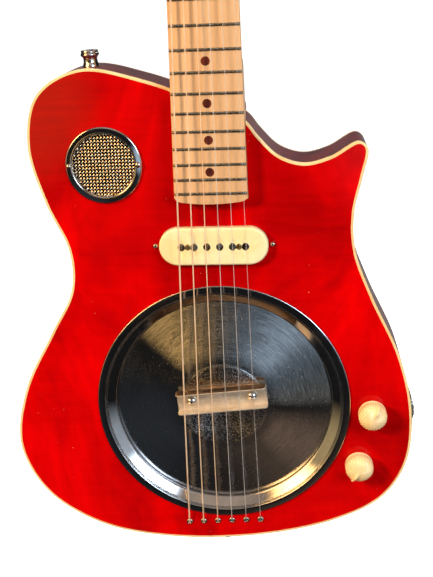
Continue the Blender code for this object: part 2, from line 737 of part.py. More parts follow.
def make_tuners(head):
    plate_front, plate_back = HEAD_THICKNESS + GAP, HEAD_THICKNESS + 1.3 * MM
    for label, side in (("bass", -1), ("treble", 1)):
        middle = (side * 24 * MM, POST_PLACES[1] - 3 * MM)
        plate = piece(
            f"tuner_plate_{label}",
            prism(rounded_box(10.5 * MM, 53 * MM, 4 * MM, middle), plate_front, plate_back),
            nickel(), head,
        )
        lugs, bores = [], []
        for z in POST_PLACES:
            axle = z - WHEEL_PITCH_RADIUS - WORM_PITCH_RADIUS
            for x in (side * POST_X - 6 * MM, side * POST_X + 6 * MM):
                lugs.append(prism(box(x, axle, 0.8 * MM, 3.4 * MM), plate_back - 0.5 * MM, GEAR_Y + 3 * MM))
            axle_hole = moved(
                hole(2.0 * MM, -8 * MM, 8 * MM, (0, 0), 8), Matrix.Rotation(math.pi / 2, 4, "Z")
            )
            bores.append(moved(axle_hole, Matrix.Translation((side * POST_X, GEAR_Y, axle))))
            bores.append(hole(3.6 * MM, 10 * MM, plate_back + MM, (side * POST_X, z), 10))
        boolean(plate, "UNION", together(lugs))
        boolean(plate, "DIFFERENCE", together(bores))
    for string in range(1, STRING_COUNT + 1):
        x, z, side = post_place(string)
        axle = z - WHEEL_PITCH_RADIUS - WORM_PITCH_RADIUS
        piece(
            f"tuner_key_{string}", loft(key_loops(side)), cream_plastic(), head, (x, GEAR_Y, axle)
        )
        rod = [
            (2.6 * MM, -13 * MM), (POST_RADIUS, -12.4 * MM), (POST_RADIUS, GEAR_Y + MM),
            (2.2 * MM, GEAR_Y + 1.8 * MM),
        ]
        post = piece(f"tuner_post_{string}", turned(rod, 10), nickel(), head, (x, 0, z))
        wheel = prism(wheel_outline(), GEAR_Y - 1.2 * MM, GEAR_Y + 1.2 * MM)
        boolean(post, "UNION", wheel)
    cover = [mm(-7, 10), mm(7, 10), mm(6, 24), mm(2.5, 38), mm(-2.5, 38), mm(-6, 24)]
    piece("truss_rod_cover", prism(cover, -2.0 * MM, -GAP), black_plastic(), head)


def post_place(string):
    """X, height and side of a string's post: outer strings go to the lowest posts."""
    side = 1 if string <= STRING_COUNT // 2 else -1
    order = string - 1 if side == 1 else STRING_COUNT - string
    return side * POST_X, POST_PLACES[order], side


# Strings and ferrules

def string_side(string):
    """From +1 for the thinnest string to -1 for the thickest."""
    return (3.5 - string) / 2.5


def string_points(string):
    """Ferrule, bridge, nut and then round the post, in the whole guitar's frame."""
    radius = STRING_DIAMETERS[string - 1] / 2
    share = string_side(string)
    x_ferrule, z_ferrule = ferrule_place(string)
    bend, mouth = 1.6 * MM, -0.7 * MM
    points = [Vector((x_ferrule, 5 * MM, BODY_Z + z_ferrule))]
    for degrees in (0, 30, 60, 84):
        angle = math.radians(degrees)
        points.append(Vector((
            x_ferrule, mouth - bend * math.sin(angle),
            BODY_Z + z_ferrule + bend * (1 - math.cos(angle)),
        )))
    x_bridge = share * STRING_HALF_SPREAD_AT_BRIDGE
    slant = math.tan(BRIDGE_TILT) * (x_bridge - BRIDGE_CENTRE[0])
    for reach in (-BRIDGE_WIDTH / 2, -BRIDGE_WIDTH / 2 + BRIDGE_WALL):
        points.append(Vector((
            x_bridge, BRIDGE_TOP - GAP - radius, BODY_Z + BRIDGE_CENTRE[1] + slant + reach,
        )))
    x_nut = share * STRING_HALF_SPREAD_AT_NUT
    points.append(Vector((x_nut, NUT_TOP - GAP - radius, 0)))
    points.append(Vector((x_nut, NUT_TOP - GAP - radius, NUT_THICKNESS)))
    x_post, z_post, side = post_place(string)
    wrap = POST_RADIUS + GAP + radius
    steps, turns = 9, 1.25
    for i in range(int(steps * turns) + 1):
        angle = (math.pi if side == 1 else 0) - side * 2 * math.pi * i / steps
        y = -8 * MM + (2 * radius + GAP) * i / steps
        local = Vector((x_post + wrap * math.cos(angle), y, z_post + wrap * math.sin(angle)))
        points.append(head_matrix() @ local)
    return points


def make_strings(frame):
    profile = [
        mm(1.4, -1.2), mm(2.2, -1.4), mm(3.1, -1.0), mm(3.4, -0.3), mm(2.2, -0.3), mm(2.2, 8),
        mm(1.4, 8),
    ]
    for string in range(1, STRING_COUNT + 1):
        x, z = ferrule_place(string)
        piece(f"string_ferrule_{string}", turned(profile, 10, ring=True), nickel(), frame, (x, 0, z))
        curve = bpy.data.curves.new(f"string_{string}", "CURVE")
        curve.dimensions = "3D"
        curve.bevel_depth = STRING_DIAMETERS[string - 1] / 2
        curve.bevel_resolution = 1
        curve.use_fill_caps = True
        points = string_points(string)
        spline = curve.splines.new("POLY")
        spline.points.add(len(points) - 1)
        for target, point in zip(spline.points, points):
            target.co = (*point, 1)
        curve.materials.append(nickel())
        made = bpy.data.objects.new(f"string_{string}", curve)
        bpy.context.scene.collection.objects.link(made)


def build():
    for old in list(bpy.data.objects):
        bpy.data.objects.remove(old)
    frame = empty("body_frame", (0, 0, BODY_Z))
    head = empty("head_frame", (0, 0, 0))
    head.matrix_local = head_matrix()
    make_body(frame)
    make_neck_plate(frame)
    make_strap_buttons(frame)
    make_jack(frame)
    make_sound_port(frame)
    make_resonator(frame)
    make_bridge(frame)
    make_pickup(frame)
    make_controls(frame)
    make_neck()
    make_fingerboard()
    make_tuners(head)
    make_strings(frame)


build()
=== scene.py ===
"""Looks of a resonator guitar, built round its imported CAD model.

Each section is one piece or one group of like pieces, in the order in which the guitar is put
together, and names the CAD parts that it stands for. Metres: +Z runs up the neck, +X points to
the treble side and the face looks along -Y.
"""

import json

import bmesh
import bpy
import numpy as np
from mathutils import Matrix, Vector


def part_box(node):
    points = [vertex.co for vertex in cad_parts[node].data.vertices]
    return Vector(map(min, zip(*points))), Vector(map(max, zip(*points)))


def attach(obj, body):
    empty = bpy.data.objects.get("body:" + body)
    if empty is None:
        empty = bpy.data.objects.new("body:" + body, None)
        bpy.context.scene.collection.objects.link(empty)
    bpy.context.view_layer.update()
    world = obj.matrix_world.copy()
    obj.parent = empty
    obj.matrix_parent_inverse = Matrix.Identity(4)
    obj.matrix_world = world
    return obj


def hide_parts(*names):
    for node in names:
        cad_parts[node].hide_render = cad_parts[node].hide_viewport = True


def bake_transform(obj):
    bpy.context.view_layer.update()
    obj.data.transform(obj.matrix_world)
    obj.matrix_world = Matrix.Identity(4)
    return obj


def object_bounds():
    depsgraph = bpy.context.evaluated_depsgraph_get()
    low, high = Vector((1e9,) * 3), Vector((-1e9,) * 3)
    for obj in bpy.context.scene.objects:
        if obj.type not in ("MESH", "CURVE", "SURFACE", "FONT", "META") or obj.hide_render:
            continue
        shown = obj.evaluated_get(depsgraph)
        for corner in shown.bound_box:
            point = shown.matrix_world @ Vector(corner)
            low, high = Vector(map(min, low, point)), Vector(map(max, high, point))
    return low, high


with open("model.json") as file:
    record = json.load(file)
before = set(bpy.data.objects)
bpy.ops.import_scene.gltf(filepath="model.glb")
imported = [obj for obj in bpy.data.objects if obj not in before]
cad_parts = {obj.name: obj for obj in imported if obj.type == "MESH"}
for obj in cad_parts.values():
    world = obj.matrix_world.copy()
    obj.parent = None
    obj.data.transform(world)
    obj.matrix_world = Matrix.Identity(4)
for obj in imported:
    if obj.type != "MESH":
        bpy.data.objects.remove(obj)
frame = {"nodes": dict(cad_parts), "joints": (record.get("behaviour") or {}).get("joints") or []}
cad_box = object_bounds()


# ---- Studio ----
# The guitar hangs by its neck over a pale floor. A warm lamp stands at its upper left and a
# cool window at its right, and the dim room in front is what its polished metal shows.

mm = 0.001
scene = bpy.context.scene
scene.view_settings.view_transform = "Standard"

camera = bpy.data.objects.new("camera", bpy.data.cameras.new("camera"))
camera.data.lens, camera.data.sensor_width = 58.2, 36.0
camera_right = Vector((0.99647, 0.07462, -0.03842))
camera_up = Vector((0.01195, 0.32699, 0.94495))
camera.matrix_world = Matrix.Translation((0.06257, -0.70188, -0.30350)) @ Matrix(
    (camera_right, camera_up, camera_right.cross(camera_up))
).transposed().to_4x4()
scene.collection.objects.link(camera)
scene.camera = camera


def add(tree, kind, values=(), **settings):
    """Put a node in a tree. Values are (socket, constant or output to link) pairs."""
    made = tree.nodes.new("ShaderNode" + kind)
    for name, value in settings.items():
        setattr(made, name, value)
    for socket, value in values:
        if isinstance(value, bpy.types.NodeSocket):
            tree.links.new(value, made.inputs[socket])
        else:
            made.inputs[socket].default_value = value
    return made


def calc(tree, operation, first, second=0.5):
    """One sum of two values, or of a value and a constant."""
    return add(tree, "Math", [(0, first), (1, second)], operation=operation).outputs[0]


def times(tree, first, second):
    """The product of two values."""
    return calc(tree, "MULTIPLY", first, second)


def blend(tree, share, first, second, kind="MIX"):
    """Two colours mixed by a share from 0 to 1."""
    return add(
        tree, "Mix", [(0, share), (6, first), (7, second)], data_type="RGBA", blend_type=kind
    ).outputs[2]


def spread(tree, value, low, high, start=0.0, end=1.0):
    """A value carried from low..high to start..end on an S curve."""
    return add(
        tree, "MapRange", [(0, value), (1, low), (2, high), (3, start), (4, end)],
        interpolation_type="SMOOTHSTEP",
    ).outputs[0]


def toward(azimuth, elevation):
    """Direction seen from the guitar: azimuth 0 is straight out of its face, 90 its treble side."""
    a, e = np.radians((azimuth, elevation))
    return Vector((np.sin(a) * np.cos(e), -np.cos(a) * np.cos(e), np.sin(e)))


room = bpy.data.worlds.new("room")
room.use_nodes = True
scene.world = room
tree = room.node_tree
tree.nodes.clear()
heading = add(tree, "TexCoord").outputs["Generated"]
seen = None
for azimuth, elevation, core, edge, colour in (
    (-50, 24, 6, 20, (10.0, 5.6, 2.0)),
    (-62, 2, 4, 30, (0.62, 0.44, 0.20)),
    (36, 16, 5, 17, (7.0, 8.2, 9.5)),
    (52, 2, 6, 30, (0.50, 0.57, 0.64)),
    (-17, -7, 1, 6, (1.9, 1.12, 0.36)),
    (-14, -9, 1, 9, (0.10, 0.07, 0.03)),
    (10, -8, 2, 10, (0.52, 0.66, 0.80)),
    (14, -19, 1, 8, (0.10, 0.14, 0.18)),
    (19, -23, 1, 4, (0.50, 0.46, 0.38)),
    (17, -37, 2, 9, (0.20, 0.13, 0.09)),
    (10, -40, 3, 16, (0.085, 0.055, 0.035)),
    (-30, -34, 2, 20, (0.02, 0.024, 0.03)),
    (0, 40, 4, 34, (0.55, 0.42, 0.32)),
    (0, 80, 20, 40, (0.20, 0.17, 0.17)),
    (148, 46, 8, 26, (1.6, 1.55, 1.5)),
    (-140, 50, 8, 26, (1.2, 1.2, 1.25)),
    (180, -30, 20, 60, (0.25, 0.25, 0.25)),
):
    aim = toward(azimuth, elevation)
    facing = add(tree, "VectorMath", [(0, heading), (1, aim)], operation="DOT_PRODUCT").outputs["Value"]
    share = spread(tree, facing, np.cos(np.radians(edge)), np.cos(np.radians(core)))
    glow = blend(tree, share, (0, 0, 0, 1), (*colour, 1))
    seen = glow if seen is None else blend(tree, 1.0, seen, glow, "ADD")
seen = blend(tree, 1.0, seen, (0.014, 0.014, 0.014, 1), "ADD")
ray = add(tree, "LightPath")
open_room = blend(tree, ray.outputs["Is Glossy Ray"], (0.12, 0.115, 0.11, 1), seen)
pale = blend(tree, ray.outputs["Is Camera Ray"], open_room, (1.0, 1.0, 1.0, 1))
background = add(tree, "Background", [("Color", pale)])
add(tree, "OutputWorld", [("Surface", background.outputs[0])])

for name, azimuth, elevation, distance, size, power, colour in (
    ("lamp", -52, 25, 2.2, 0.45, 54, (1.0, 0.67, 0.34)),
    ("window", 48, 20, 2.4, 1.1, 42, (0.98, 0.98, 1.0)),
    ("overhead", 6, 74, 2.2, 1.4, 18, (1.0, 0.97, 0.93)),
    ("back_fill", 165, 25, 2.6, 1.6, 40, (1.0, 1.0, 1.0)),
):
    light = bpy.data.objects.new(name, bpy.data.lights.new(name, "AREA"))
    light.data.size, light.data.energy, light.data.color = size, power, colour
    middle = Vector((0.0, 0.0, -0.5))
    light.location = middle + toward(azimuth, elevation) * distance
    light.rotation_euler = (middle - light.location).to_track_quat("-Z", "Y").to_euler()
    light.visible_camera = light.visible_glossy = False
    scene.collection.objects.link(light)

floor_mesh = bpy.data.meshes.new("floor")
reach, drop = 40.0, cad_box[0].z - 0.35
floor_mesh.from_pydata(
    [(-reach, -reach, drop), (reach, -reach, drop), (reach, reach, drop), (-reach, reach, drop)],
    [], [(0, 1, 2, 3)],
)
paper = bpy.data.materials.new("floor_paper")
paper.use_nodes = True
shader = paper.node_tree.nodes["Principled BSDF"]
shader.inputs["Base Color"].default_value = (0.9, 0.9, 0.9, 1)
shader.inputs["Roughness"].default_value = 0.9
shader.inputs["Emission Color"].default_value = (1, 1, 1, 1)
shader.inputs["Emission Strength"].default_value = 1.0
floor_mesh.materials.append(paper)
floor = bpy.data.objects.new("floor", floor_mesh)
floor.visible_glossy = floor.visible_diffuse = False
scene.collection.objects.link(floor)


# ---- Body core ----
# The sides and the wood between the two plates: one slab with the resonator's well, the air
# chamber, the control cavity, the pickup's rout and the neck pocket cut in. Wine-red lacquer.

scale_length = 647.7
last_fret = -scale_length * (1 - 2 ** (-22 / 12))
body_depth, plate_thickness, binding_width = 48, 3.5, 2.0
body_knots = np.array([
    (0, 66.5), (27, 53.5), (37, 41.2), (52, 26.3), (71, 20), (91, 24.5), (112.5, 35.6),
    (119.2, 30), (115.4, 8.5), (109.3, -20), (110.6, -50), (124, -88), (147.2, -140.5),
    (157.8, -191), (154.2, -237), (134.4, -270), (96, -292), (35, -307.5), (-45, -310.8),
    (-108, -298.2), (-153.6, -266.6), (-173.8, -221), (-164, -168), (-136, -115.5),
    (-117.2, -80), (-116.2, -46), (-130.8, -8.8), (-141, 38), (-130.5, 76.5), (-96, 94.6),
    (-50, 86),
]) + (0, last_fret)  # fmt: skip


def points(*coordinates):
    """Arrays of coordinates brought to one shape and joined to points."""
    return np.stack(np.broadcast_arrays(*coordinates), axis=-1)


def circle(steps):
    """Even angles once round, without the last."""
    return np.linspace(0, 2 * np.pi, steps, endpoint=False)


def closed_curve(knots, steps):
    """Centripetal Catmull-Rom curve: each span mixes four knots, timed by root chord length."""
    four = [np.roll(knots, 1 - k, axis=0)[:, None] for k in range(4)]
    time = [np.zeros((len(knots), 1, 1))]
    for first, second in zip(four, four[1:]):
        time.append(time[-1] + np.sqrt(np.linalg.norm(second - first, axis=-1, keepdims=True)))
    now = time[1] + (time[2] - time[1]) * np.linspace(0, 1, steps, endpoint=False)[None, :, None]

    def between(a, b, start, end):
        return a + (b - a) * (now - start) / (end - start)

    level = [between(four[j], four[j + 1], time[j], time[j + 1]) for j in range(3)]
    pair = [between(level[j], level[j + 1], time[j], time[j + 2]) for j in range(2)]
    return between(pair[0], pair[1], time[1], time[2]).reshape(-1, 2)


def inset(outline, distance):
    """Each point of a closed outline moved inwards along its normal."""
    after, before = np.roll(outline, -1, axis=0), np.roll(outline, 1, axis=0)
    along = (after - before) / np.linalg.norm(after - before, axis=1, keepdims=True)
    area = np.sum(outline[:, 0] * after[:, 1] - outline[:, 1] * after[:, 0])
    return outline + np.sign(area) * distance * points(-along[:, 1], along[:, 0])


def stadium(start, end, radius, arc_steps=24, side_steps=1):
    """Closed outline of two half circles about the ends of a line, joined by straight sides."""
    start, end = np.asarray(start, float), np.asarray(end, float)
    aim = np.arctan2(*(end - start)[::-1])
    parts = []
    for here, there, turn in ((end, start, aim - np.pi / 2), (start, end, aim + np.pi / 2)):
        angle = turn + np.linspace(0, np.pi, arc_steps + 1)
        parts.append(here + radius * points(np.cos(angle), np.sin(angle)))
        share = np.linspace(0, 1, side_steps, endpoint=False)[1:, None]
        parts.append(parts[-1][-1] + share * (there - here))
    return np.concatenate(parts)


def drawn(outline, profile):
    """Rows of points: the (x, z) outline drawn in by each (inset, y) step of the profile."""
    flats = [inset(outline, distance) if distance else outline for distance, _ in profile]
    return np.stack([points(flat[:, 0], y, flat[:, 1]) for flat, (_, y) in zip(flats, profile)])


def slab(outline, front, back):
    """Two rows of points: the (x, z) outline at two depths."""
    return drawn(outline, [(0, front), (0, back)])


def turned(profile, steps=64, x=0, z=0):
    """Rows of points: a (radius, y) profile carried round a line along Y."""
    radius, y = np.asarray(profile, float).T[..., None]
    angle = circle(steps)
    return points(x + radius * np.cos(angle), y, z + radius * np.sin(angle))


def bore(radius, front, back, x=0, z=0, steps=32):
    """A straight round bar along Y, to drill with."""
    return turned([(radius, front), (radius, back)], steps, x, z)


def mesh_of(name, solids):
    """One mesh of several closed solids in millimetres. Each is a grid of rows round a solid,
    capped at both ends, or a pair (grid, "ring") whose last row joins its first. UV: round,
    then along."""
    places, corners, sizes, uvs, base = [], [], [], [], 0
    for solid in solids:
        grid, ring = (solid[0], True) if isinstance(solid, tuple) else (solid, False)
        rows, columns = grid.shape[:2]
        down = np.arange(rows if ring else rows - 1)[:, None, None] + [0, 0, 1, 1]
        over = np.arange(columns)[:, None] + [0, 1, 1, 0]
        quads = down % rows * columns + over % columns
        places.append(grid.reshape(-1, 3) * mm)
        corners.append(quads.ravel() + base)
        sizes.append(np.full(quads.size // 4, 4))
        uvs.append(points(over / columns, down / max(rows - 1, 1)).reshape(-1, 2))
        for row in () if ring else (0, rows - 1):
            if np.ptp(grid[row], axis=0).max() > 1e-3:
                corners.append(base + row * columns + np.arange(columns))
                sizes.append(np.array([columns]))
                uvs.append(np.zeros((columns, 2)))
        base += rows * columns
    corners, sizes = np.concatenate(corners), np.concatenate(sizes)
    mesh = bpy.data.meshes.new(name)
    mesh.vertices.add(base)
    mesh.vertices.foreach_set("co", np.concatenate(places).astype(np.float32).ravel())
    mesh.loops.add(len(corners))
    mesh.loops.foreach_set("vertex_index", corners.astype(np.int32))
    mesh.polygons.add(len(sizes))
    mesh.polygons.foreach_set("loop_start", (np.cumsum(sizes) - sizes).astype(np.int32))
    mesh.update(calc_edges=True)
    layer = mesh.uv_layers.new(name="UVMap")
    layer.data.foreach_set("uv", np.concatenate(uvs).astype(np.float32).ravel())
    welded = bmesh.new()
    welded.from_mesh(mesh)
    bmesh.ops.remove_doubles(welded, verts=welded.verts, dist=1e-7)
    bmesh.ops.recalc_face_normals(welded, faces=welded.faces)
    welded.to_mesh(mesh)
    welded.free()
    return mesh


def shade(piece, angle=35):
    """Smooth shading, with an edge kept sharp where its faces meet at more than the angle."""
    piece.data.shade_smooth()
    piece.data.set_sharp_from_angle(angle=np.radians(angle))


def make(name, solids, look, stands_for=(), body="instrument"):
    """One finished piece on a body, in the place of the CAD nodes that it stands for."""
    piece = bpy.data.objects.new(name, mesh_of(name, solids))
    scene.collection.objects.link(piece)
    piece.data.materials.append(look)
    shade(piece)
    if body:
        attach(piece, body)
    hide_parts(*stands_for)
    return piece


def carve(piece, solids, operation="DIFFERENCE"):
    """Cut solids out of a piece, or join them to it, and keep the result as its mesh."""
    tool = bpy.data.objects.new("tool", mesh_of("tool", solids))
    scene.collection.objects.link(tool)
    step = piece.modifiers.new("carve", "BOOLEAN")
    step.operation, step.solver, step.object = operation, "EXACT", tool
    bpy.context.view_layer.update()
    graph = bpy.context.evaluated_depsgraph_get()
    result = bpy.data.meshes.new_from_object(piece.evaluated_get(graph))
    piece.modifiers.clear()
    old, piece.data = piece.data, result
    for mesh in (old, tool.data):
        bpy.data.meshes.remove(mesh)
    shade(piece)


def effect(name, inputs, outputs):
    """An empty shader group with float, vector or colour sockets, and its two end nodes."""
    kinds = {"value": "NodeSocketFloat", "vector": "NodeSocketVector", "colour": "NodeSocketColor"}
    group = bpy.data.node_groups.new(name, "ShaderNodeTree")
    for socket, kind in inputs:
        group.interface.new_socket(socket, in_out="INPUT", socket_type=kinds[kind])
    for socket, kind in outputs:
        group.interface.new_socket(socket, in_out="OUTPUT", socket_type=kinds[kind])
    return group, group.nodes.new("NodeGroupInput").outputs, group.nodes.new("NodeGroupOutput")


# Streaks: noise stretched by so many features to the metre along each axis.
streaks, given, out = effect(
    "streaks", [("Vector", "vector"), ("Per metre", "vector"), ("Warp", "value")], [("Shade", "value")]
)
scaled = add(streaks, "VectorMath", [(0, given["Vector"]), (1, given["Per metre"])], operation="MULTIPLY")
noise = add(streaks, "TexNoise", [
    ("Vector", scaled.outputs[0]), ("Scale", 1.0), ("Detail", 4.0), ("Roughness", 0.62),
    ("Distortion", given["Warp"]),
])
streaks.links.new(spread(streaks, noise.outputs[0], 0.32, 0.68), out.inputs["Shade"])



def use(tree, group, **values):
    """Place a group in a material, with its own values, and return its first output."""
    made = tree.nodes.new("ShaderNodeGroup")
    made.node_tree = group
    for name, value in values.items():
        socket = made.inputs[name.replace("_", " ")]
        if isinstance(value, bpy.types.NodeSocket):
            tree.links.new(value, socket)
        else:
            socket.default_value = value
    return made.outputs[0]


def streaked(tree, place, per_metre, warp=0.0):
    """The streaks group with its own warp and features to the metre, on each axis or on all."""
    stretch = per_metre if isinstance(per_metre, tuple) else (per_metre,) * 3
    return use(tree, streaks, Vector=place, Per_metre=stretch, Warp=warp)


def finish(name, colour, roughness, metallic=0.0, **constants):
    """A material whose plain values are set on the shader: (material, tree, shader, place)."""
    made = bpy.data.materials.new(name)
    made.use_nodes = True
    tree = made.node_tree
    shader = tree.nodes["Principled BSDF"]
    shader.inputs["Base Color"].default_value = (*colour, 1)
    shader.inputs["Roughness"].default_value = roughness
    shader.inputs["Metallic"].default_value = metallic
    for socket, value in constants.items():
        shader.inputs[socket.replace("_", " ").title().replace("Ior", "IOR")].default_value = value
    made.diffuse_color = (*colour, 1)
    return made, tree, shader, add(tree, "TexCoord").outputs["Object"]


def dress(tree, shader, colour=None, roughness=None, height=None, distance=0.0001, strength=1.0):
    """Feed a varying colour, roughness or relief to a shader."""
    if colour is not None:
        tree.links.new(colour, shader.inputs["Base Color"])
    if roughness is not None:
        tree.links.new(roughness, shader.inputs["Roughness"])
    if height is not None:
        bump = add(tree, "Bump", [("Height", height), ("Distance", distance), ("Strength", strength)])
        tree.links.new(bump.outputs[0], shader.inputs["Normal"])


def mottled(name, colour, roughness, metallic, tone, shades, gloss=None, relief=None, **constants):
    """A material whose colour and gloss follow one streak pattern. A pattern is its features to
    the metre and its warp, gloss is roughness (at 0, at 1), and relief is (pattern, depth), or
    only the depth where it follows the same pattern."""
    made, tree, shader, place = finish(name, colour, roughness, metallic, **constants)
    mask = streaked(tree, place, *tone)
    colour = blend(tree, mask, (*shades[0], 1), (*shades[1], 1))
    gloss = spread(tree, mask, *(gloss if len(gloss) == 4 else (0, 1, *gloss))) if gloss else None
    pattern, depth = relief if isinstance(relief, tuple) else (tone, relief)
    dress(tree, shader, colour, gloss, depth and streaked(tree, place, *pattern), depth)
    return made


wine_lacquer, tree, shader, place = finish(
    "wine_lacquer", (0.08, 0.006, 0.008), 0.5, coat_weight=0.7, coat_roughness=0.04,
    specular_ior_level=0.02,
)
grain = streaked(tree, place, (60, 60, 420), 0.6)
cloud = streaked(tree, place, (14, 14, 30), 0.3)
body_wood = blend(tree, grain, (0.055, 0.003, 0.005, 1), (0.14, 0.010, 0.013, 1))
body_wood = blend(tree, times(tree, cloud, 0.5), body_wood, (0.20, 0.014, 0.016, 1))
dress(tree, shader, body_wood, spread(tree, grain, 0, 1, 0.34, 0.46), grain, 0.00002)

body_outline = closed_curve(body_knots, 12)
core_front, core_back = plate_thickness + 0.1, body_depth - plate_thickness - 0.1
through = body_depth + 2


half_nut = 21.0


def half_board(z):
    """Half the neck's width, which grows slowly from the nut down."""
    return half_nut - 0.01513 * z


def box_of(node):
    """Lowest and highest corner of a CAD node's box, in millimetres."""
    return [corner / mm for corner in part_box(node)]


def centre_of(node):
    """Middle of a CAD node's box, in millimetres."""
    low, high = box_of(node)
    return (low + high) / 2


pocket_low, pocket_high = last_fret - 6.3, last_fret + 100
pocket = np.array([
    (-half_board(pocket_low) - 0.3, pocket_low), (half_board(pocket_low) + 0.3, pocket_low),
    (half_board(pocket_high) + 0.3, pocket_high), (-half_board(pocket_high) - 0.3, pocket_high),
])
pocket_cut = slab(pocket, -2, 16.3)
resonator_centre, port_centre = centre_of("resonator_rim"), centre_of("soundport_ring")
pickup_centre = centre_of("pickup_cover")
well = [(99.5, -1), (99.5, 10), (92, 10), (92, 44)]
control_middle = centre_of("control_cover")
control_ends = [(control_middle.x + 5, control_middle.z + 26), (control_middle.x - 5, control_middle.z - 26)]
rout_ends = [(pickup_centre.x - 38, pickup_centre.z), (pickup_centre.x + 38, pickup_centre.z)]
core = make("body_sides", [slab(body_outline, core_front, core_back)], wine_lacquer, ["body_core"])
carve(core, [
    turned(well, 128, resonator_centre.x, resonator_centre.z),
    bore(40, -1, 43, port_centre.x, port_centre.z, 64),
    slab(stadium(*control_ends, 16), 6, through),
    slab(stadium(*rout_ends, 16.6), -1, 26),
    pocket_cut,
])


# ---- Top plate ----
# A thin figured maple plate under a deep, clear red lacquer, rubbed to a mirror. It is cut for
# the resonator, the port, the pickup, the controls and the neck.

# Specks: small round grains scattered at random, sparse and of mixed size.
specks, given, out = effect(
    "specks", [("Vector", "vector"), ("Per metre", "value"), ("Size", "value")], [("Mask", "value")]
)
cellular = add(specks, "TexVoronoi", [("Vector", given["Vector"]), ("Scale", given["Per metre"])])
lone = add(specks, "TexWhiteNoise", [("Vector", cellular.outputs["Position"])])
limit = times(specks, given["Size"], calc(specks, "POWER", lone.outputs[0], 6.0))
specks.links.new(calc(specks, "LESS_THAN", cellular.outputs["Distance"], limit), out.inputs["Mask"])

red_lacquer, tree, shader, place = finish(
    "red_lacquer", (0.8, 0.0, 0.002), 0.5, coat_weight=0.28, coat_roughness=0.03,
    specular_ior_level=0.02,
)
cloud = streaked(tree, place, (8, 8, 5), 0.8)
figure = streaked(tree, place, (70, 70, 16), 0.5)
flame = streaked(tree, place, (14, 14, 120), 1.2)
red = blend(tree, cloud, (0.36, 0.0, 0.0010, 1), (0.88, 0.0, 0.0006, 1))
red = blend(tree, times(tree, figure, 0.14), red, (0.22, 0.0, 0.001, 1))
red = blend(tree, times(tree, flame, 0.10), red, (1.0, 0.004, 0.002, 1))
dust = use(tree, specks, Vector=place, Per_metre=160.0, Size=0.08)
red = blend(tree, times(tree, dust, 0.5), red, (1.0, 0.30, 0.22, 1))
dress(tree, shader, red, height=streaked(tree, place, 45), distance=0.000012)

plate_outline = closed_curve(inset(body_knots, binding_width), 12)
top = make("top_plate", [slab(plate_outline, 0.0, plate_thickness)], red_lacquer, ["body_top"])
knob_centres = {label: centre_of(f"{label}_pot") for label in ("volume", "tone")}
ferrule_centres = [centre_of(f"string_ferrule_{number}") for number in range(1, 7)]
pickup_screws = {side: centre_of(f"pickup_screw_{side}") for side in ("bass", "treble")}
cover_half, cover_radius = 27.9, 15.1
cover_ends = [(pickup_centre.x - cover_half, pickup_centre.z), (pickup_centre.x + cover_half, pickup_centre.z)]
carve(top, [
    bore(100, -1, 5, resonator_centre.x, resonator_centre.z, 128),
    bore(25.5, -1, 5, port_centre.x, port_centre.z, 64),
    slab(stadium(*cover_ends, cover_radius + 0.4), -1, 5),
    pocket_cut,
    *[bore(1.9, -1, 5, centre.x, centre.z, 16) for centre in pickup_screws.values()],
    *[bore(4.3, -1, 5, centre.x, centre.z) for centre in knob_centres.values()],
    *[bore(2.5, -1, 5, centre.x, centre.z, 16) for centre in ferrule_centres],
])


# ---- Binding ----
# Cream plastic strip, 2 mm wide, glued into a rabbet round the front and the back edge and
# scraped flush, with its outer corner eased by hand.

cream_binding = mottled(
    "cream_binding", (0.95, 0.72, 0.36), 0.3, 0.0, (35, 0.4),
    ((0.90, 0.62, 0.27), (1.0, 0.78, 0.42)), (0.26, 0.40), 0.00002,
    coat_weight=0.8, coat_roughness=0.05,
)


def softened(corners, radius, closed=False, steps=5):
    """A polyline whose corners are rounded by parabolas that start a radius from each corner."""
    corners = np.asarray(corners, float)
    arms = [np.roll(corners, 1, axis=0) - corners, np.roll(corners, -1, axis=0) - corners]
    lengths = [np.linalg.norm(arm, axis=1, keepdims=True) for arm in arms]
    start = np.minimum(radius, 0.45 * np.minimum(*lengths))
    first, second = [(start * arm / length)[:, None] for arm, length in zip(arms, lengths)]
    t = np.linspace(0, 1, steps + 1)[None, :, None]
    bends = corners[:, None] + first * (1 - t) ** 2 + second * t ** 2
    if closed:
        return bends.reshape(-1, corners.shape[1])
    middle = bends[1:-1].reshape(-1, corners.shape[1])
    return np.concatenate([corners[:1], middle, corners[-1:]])


def strip(front, back, eased):
    """A band between the body's and the plate's outline; its outer corner at eased is round."""
    corner = softened([(binding_width, eased), (0, eased), (0, front + back - eased)], 0.8)
    across = np.concatenate([corner[:, 0] / binding_width, [0.0, 1.0]])
    depth = np.concatenate([corner[:, 1], [front + back - eased] * 2])
    flat = body_outline + (plate_outline - body_outline) * across[:, None, None]
    return points(flat[..., 0], depth[:, None], flat[..., 1])


front_binding = make(
    "binding_front", [(strip(0.0, core_front - 0.05, 0.0), "ring")], cream_binding, ["top_binding"],
)
carve(front_binding, [pocket_cut])
make(
    "binding_back", [(strip(core_back + 0.05, body_depth, body_depth), "ring")], cream_binding, ["back_binding"],
)


# ---- Back plate, its cover and the neck plate ----
# The back is a wine-red plate with a pressed black cover over the controls, and a chromed plate
# under the four bolts that hold the neck.

back = make(
    "back_plate",
    [slab(plate_outline, body_depth - plate_thickness, body_depth)], wine_lacquer, ["body_back"],
)
carve(back, [slab(stadium(*control_ends, 14), 40, through)])

